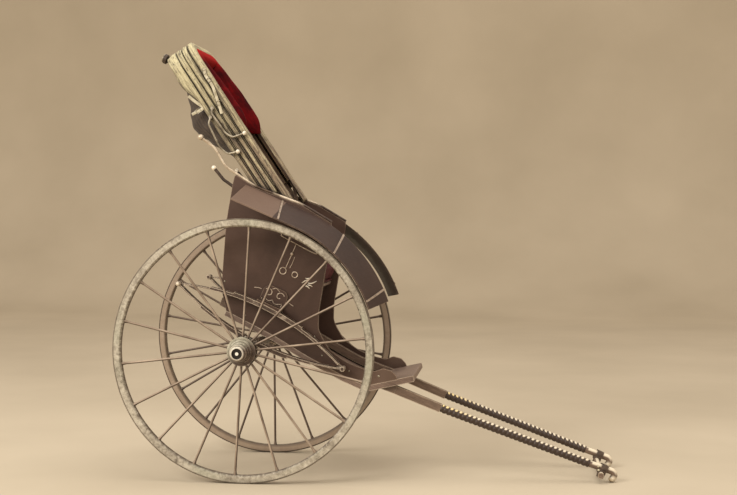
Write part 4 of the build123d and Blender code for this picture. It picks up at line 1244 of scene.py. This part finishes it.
def fender_place(angle, share, lift):
    """Place on a fender by an angle about the axle, a share of the way from its outer edge in, and a lift."""
    radius = fender_outer_radius + (fender_inner_radius - fender_outer_radius) * share + lift
    across = fender_outer_offset + (half_body - fender_outer_offset) * share
    if angle <= 90.0:
        return radius * cos(radians(angle)), across, wheel_height + radius * sin(radians(angle))
    return -(angle - 90.0) * level_run, across, wheel_height + radius


def make_fender_irons(side):
    """Narrow flat irons over a fender."""
    irons = Form()
    for outer_angle, inner_angle in fender_irons:
        rows = []
        for k in range(11):
            share = k / 10
            angle = outer_angle + (inner_angle - outer_angle) * share
            row = []
            for turn, lift in iron_section:
                x, y, z = fender_place(angle + turn, share, lift)
                row.append(at_level(x, side * (y + 0.4 * (1 - share)), z))
            rows.append(row)
        irons.grid(rows, closed_rows=True).cap(rows[0]).cap(rows[-1], flip=True)
    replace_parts(irons.make("fender_straps", "brass_rail", side, finish=fender_iron_finish), "fender_irons")


# Trim: inlay, rivets, bolts, knobs and rings

# Scroll work on a side panel, by places along the level cart and above it: lines with their half width, rings
# with their radius, scrolls with their first angle and way of turning, and leaves. What lies on the bracket
# between body and spring stands out by the bracket's depth.
inlay_lift = 0.4
inlay_lines = (
    (2.4, (-71, 1064), (-61, 1048), (-47, 1042), (93, 1033), (107, 1041), (112, 1049)),
    (1.6, (12, 1038), (12, 992), (11, 926)),
    (1.1, (28, 985), (29, 960), (27, 932)),
    (1.8, (-79, 797), (-62, 803), (-48, 804)),
    (1.7, (-4, 823), (12, 832), (30, 824)),
    (1.8, (74, 802), (88, 795), (106, 792)),
    (1.7, (-26, 782), (-2, 771), (14, 780)),
    (1.7, (14, 780), (30, 769), (58, 780)),
    (1.9, (60, 776), (58, 768), (60, 760)),
    (1.7, (-32, 772), (-30, 764), (-32, 757)))
inlay_rings = ((5, 911, 14.0), (58, 916, 12.0))
inlay_scrolls = ((-12, 803, radians(150), -1), (38, 805, radians(30), 1))
inlay_pearl = (12, 992)
inlay_leaves = (
    ((99, 896), (110, 912), (127, 926)), ((120, 906), (138, 912), (154, 930)),
    ((104, 921), (118, 925), (133, 940)), ((123, 899), (136, 902), (147, 900)),
    ((112, 890), (126, 893), (140, 888)))
inlay_pearl_radius = 0.007
inlay_ring_wire = 0.0021
scroll_radius = 20.0
bracket_middle = 16.0
bracket_half = 55.0
bracket_low = 740.0
bracket_high = 838.0
bracket_depth = 8.0

# Rivets on a side panel: along, above and radius
panel_rivets = ((128, 699, 4.5), (-205, 768, 4.5), (-69, 672, 4.5), (240, 712, 3.5), (553, 671.5, 5.0),
                (430, 640, 3.5), (300, 652, 3.5), (-90, 1120, 3.0), (60, 1112, 3.0))

# Rivets on a hub's flange, in metres
hub_rivets = 9
hub_rivet_circle = 0.056
hub_rivet_radius = 0.0034
hub_flange_face = 0.0175

# Bright balls and rings: the rail's end, the stud behind the body, the ends of the curled irons, by bow,
# distance along its legs and level across from it, and the buffer under the hood
rail_end = (-441, 223, 1189)
rail_ball_radius = 0.0106
stud_end = (-373.5, 294.0, 685.4)
stud_ball_radius = 0.0078
iron_knobs = ((1, 280.0, 19.0), (2, 329.0, 58.0))
iron_offset = 224.5
iron_knob_radius = 0.0092
buffer_middle = (786, 130, -83.95)
buffer_length = 0.0275
buffer_ring_radius = 0.0165
buffer_ring_wire = 0.0028


def make_inlay(side):
    """Thin lines of inlay on a side panel: a bar with a pendant, rings, a row of scrolls and a leaf spray."""
    face = side * (half_body + inlay_lift)
    inlay = Form()

    def stroke(radius, points, steps=6):
        on_bracket = all(bracket_low < z < bracket_high and abs(x - bracket_middle) < bracket_half
                         for x, z in points)
        out = face + side * bracket_depth if on_bracket else face
        inlay.tube(smooth_line([at_level(x, out, z) for x, z in points], steps), radius / 1000, sides=6)

    for radius, *points in inlay_lines:
        stroke(radius, points)
    for x, z, start, way in inlay_scrolls:
        turns = [(start + way * k * pi / 7, scroll_radius * (1.0 - 0.065 * k)) for k in range(12)]
        stroke(1.9, [(x + size * cos(angle), z + size * sin(angle)) for angle, size in turns], 3)
    for x, z, radius in inlay_rings:
        ring = circle(at_level(x, face, z), level_forward, level_up, radius / 1000, radius / 1000, 24)
        inlay.tube(ring, inlay_ring_wire, sides=6, closed=True)
    inlay.ball(at_level(inlay_pearl[0], face, inlay_pearl[1]), inlay_pearl_radius)
    inlay.make("panel_inlay", "brass_rail", side, finish=inlay_finish)
    spray = Form()
    for points in inlay_leaves:
        line = smooth_line([at_level(x, face, z) for x, z in points], 5)
        radii = [0.0008 + 0.0022 * sin(pi * k / (len(line) - 1)) for k in range(len(line))]
        spray.tube(line, radii, sides=6)
    spray.make("panel_leaf", "brass_rail", side, finish=pale_and_highlight_finish)


def make_rivets(side):
    """Round-headed rivets on a side panel and its cheek."""
    heads = Form()
    for x, z, radius in panel_rivets:
        heads.ball(at_level(x, side * half_body, z), radius / 1000, axis=to_left, squash=0.5)
    heads.make("panel_rivets", "bright_iron", side)


def make_hub_rivets(side):
    """Rivet heads on the outer flange of a hub, turning with it."""
    wheel = f"wheel_{side_name(side)}"
    heads = Form()
    for k in range(hub_rivets):
        angle = 2 * pi * (k + 0.5) / hub_rivets
        place = Vector((axle_x + hub_rivet_circle * cos(angle), side * (half_track + hub_flange_face),
                        axle_height + hub_rivet_circle * sin(angle)))
        heads.ball(place, hub_rivet_radius, axis=to_left, squash=0.6, sides=10, rings=6)
    heads.make(f"{wheel}_hub_rivets", "bright_iron", body=wheel)


def make_bright_ends(side):
    """Balls on the rail's end, the stud behind the body and the curled irons, and the buffer's ring."""
    balls = Form()
    x, y, z = rail_end
    balls.ball(at_level(x, side * y, z), rail_ball_radius, sides=20, rings=12)
    x, y, z = stud_end
    balls.ball(at_level(x, side * y, z), stud_ball_radius, axis=to_left, squash=0.6)
    balls.make("stud_ball", "bright_iron", side, finish=pale_and_highlight_finish)
    # The curled irons' knobs are laid near white as painted highlights, where their ends catch the light
    for number, along, across in iron_knobs:
        knob = Form()
        knob.ball(at_hood(along, side * iron_offset, bow_levels[number - 1] + across), iron_knob_radius)
        knob.make(f"iron_knob_{number}", "bright_iron", side, f"hood_{number}", pale_and_highlight_finish)
    along, y, across = buffer_middle
    middle = at_hood(along, side * y, across) - level_forward * buffer_length
    ring = circle(middle, level_up, to_left, buffer_ring_radius, buffer_ring_radius, 32)
    wire = Form().tube(ring, buffer_ring_wire, sides=10, closed=True)
    wire.make("buffer_ring", "bright_iron", side, "hood_1")


for build in (make_fender_irons, make_inlay, make_rivets, make_hub_rivets, make_bright_ends):
    both(build)

# Floor, wall and lights
floor_near = -9.0
floor_step = 0.42
floor_half_width = 14.0
wall_start = 8.0
wall_bend = 3.0

# Lights: name, place, target, size, power and colour
lights = (("window", (-4.2, -4.6, 4.4), (-0.1, 0, 0.8), (3.4, 2.6), 330.0, (255, 250, 242)),
          ("skylight", (0.6, -0.6, 5.6), (0, 0, 0.6), (5.0, 4.0), 120.0, (255, 250, 242)),
          ("reflector", (4.6, -3.6, 1.8), (0.2, 0, 0.8), (2.4, 2.4), 45.0, (255, 246, 234)))
surroundings = (224, 210, 194)

# Camera: the photograph's own viewpoint, worked out from its two wheels
camera_place = (0.6467, -5.60, 1.14)
camera_tilt = radians(90 - 1.72)
camera_turn = radians(6.72)
camera_lens = 63.3


def make_floor():
    """Pale floor that turns up into a wall far behind the cart."""
    rows = []
    for i in range(60):
        reach = floor_near + floor_step * i
        y, z = reach, 0.0
        if reach >= wall_start:
            turn = min((reach - wall_start) / wall_bend, pi / 2)
            y = wall_start + wall_bend * sin(turn)
            z = wall_bend * (1 - cos(turn)) + max(reach - wall_start - wall_bend * pi / 2, 0.0)
        rows.append([(floor_half_width * (j / 4 - 1), y, z) for j in range(9)])
    Form().grid(rows).plain("studio_floor", floor_look())


def add_light(name, place, target, size, power, colour):
    data = bpy.data.lights.new(name, "AREA")
    data.shape = "RECTANGLE"
    data.size, data.size_y = size
    data.energy = power
    data.color = tone(*colour)[:3]
    obj = bpy.data.objects.new(name, data)
    obj.location = place
    obj.rotation_euler = (Vector(target) - Vector(place)).to_track_quat("-Z", "Y").to_euler()
    bpy.context.scene.collection.objects.link(obj)


make_floor()
for light in lights:
    add_light(*light)

scene = bpy.context.scene
world = bpy.data.worlds.new("studio")
world.use_nodes = True
world.node_tree.nodes["Background"].inputs["Color"].default_value = tone(*surroundings)
scene.world = world
scene.view_settings.view_transform = "Standard"

camera_data = bpy.data.cameras.new("camera")
camera_data.lens = camera_lens
camera = bpy.data.objects.new("camera", camera_data)
camera.location = camera_place
camera.rotation_euler = (camera_tilt, 0, camera_turn)
scene.collection.objects.link(camera)
scene.camera = camera
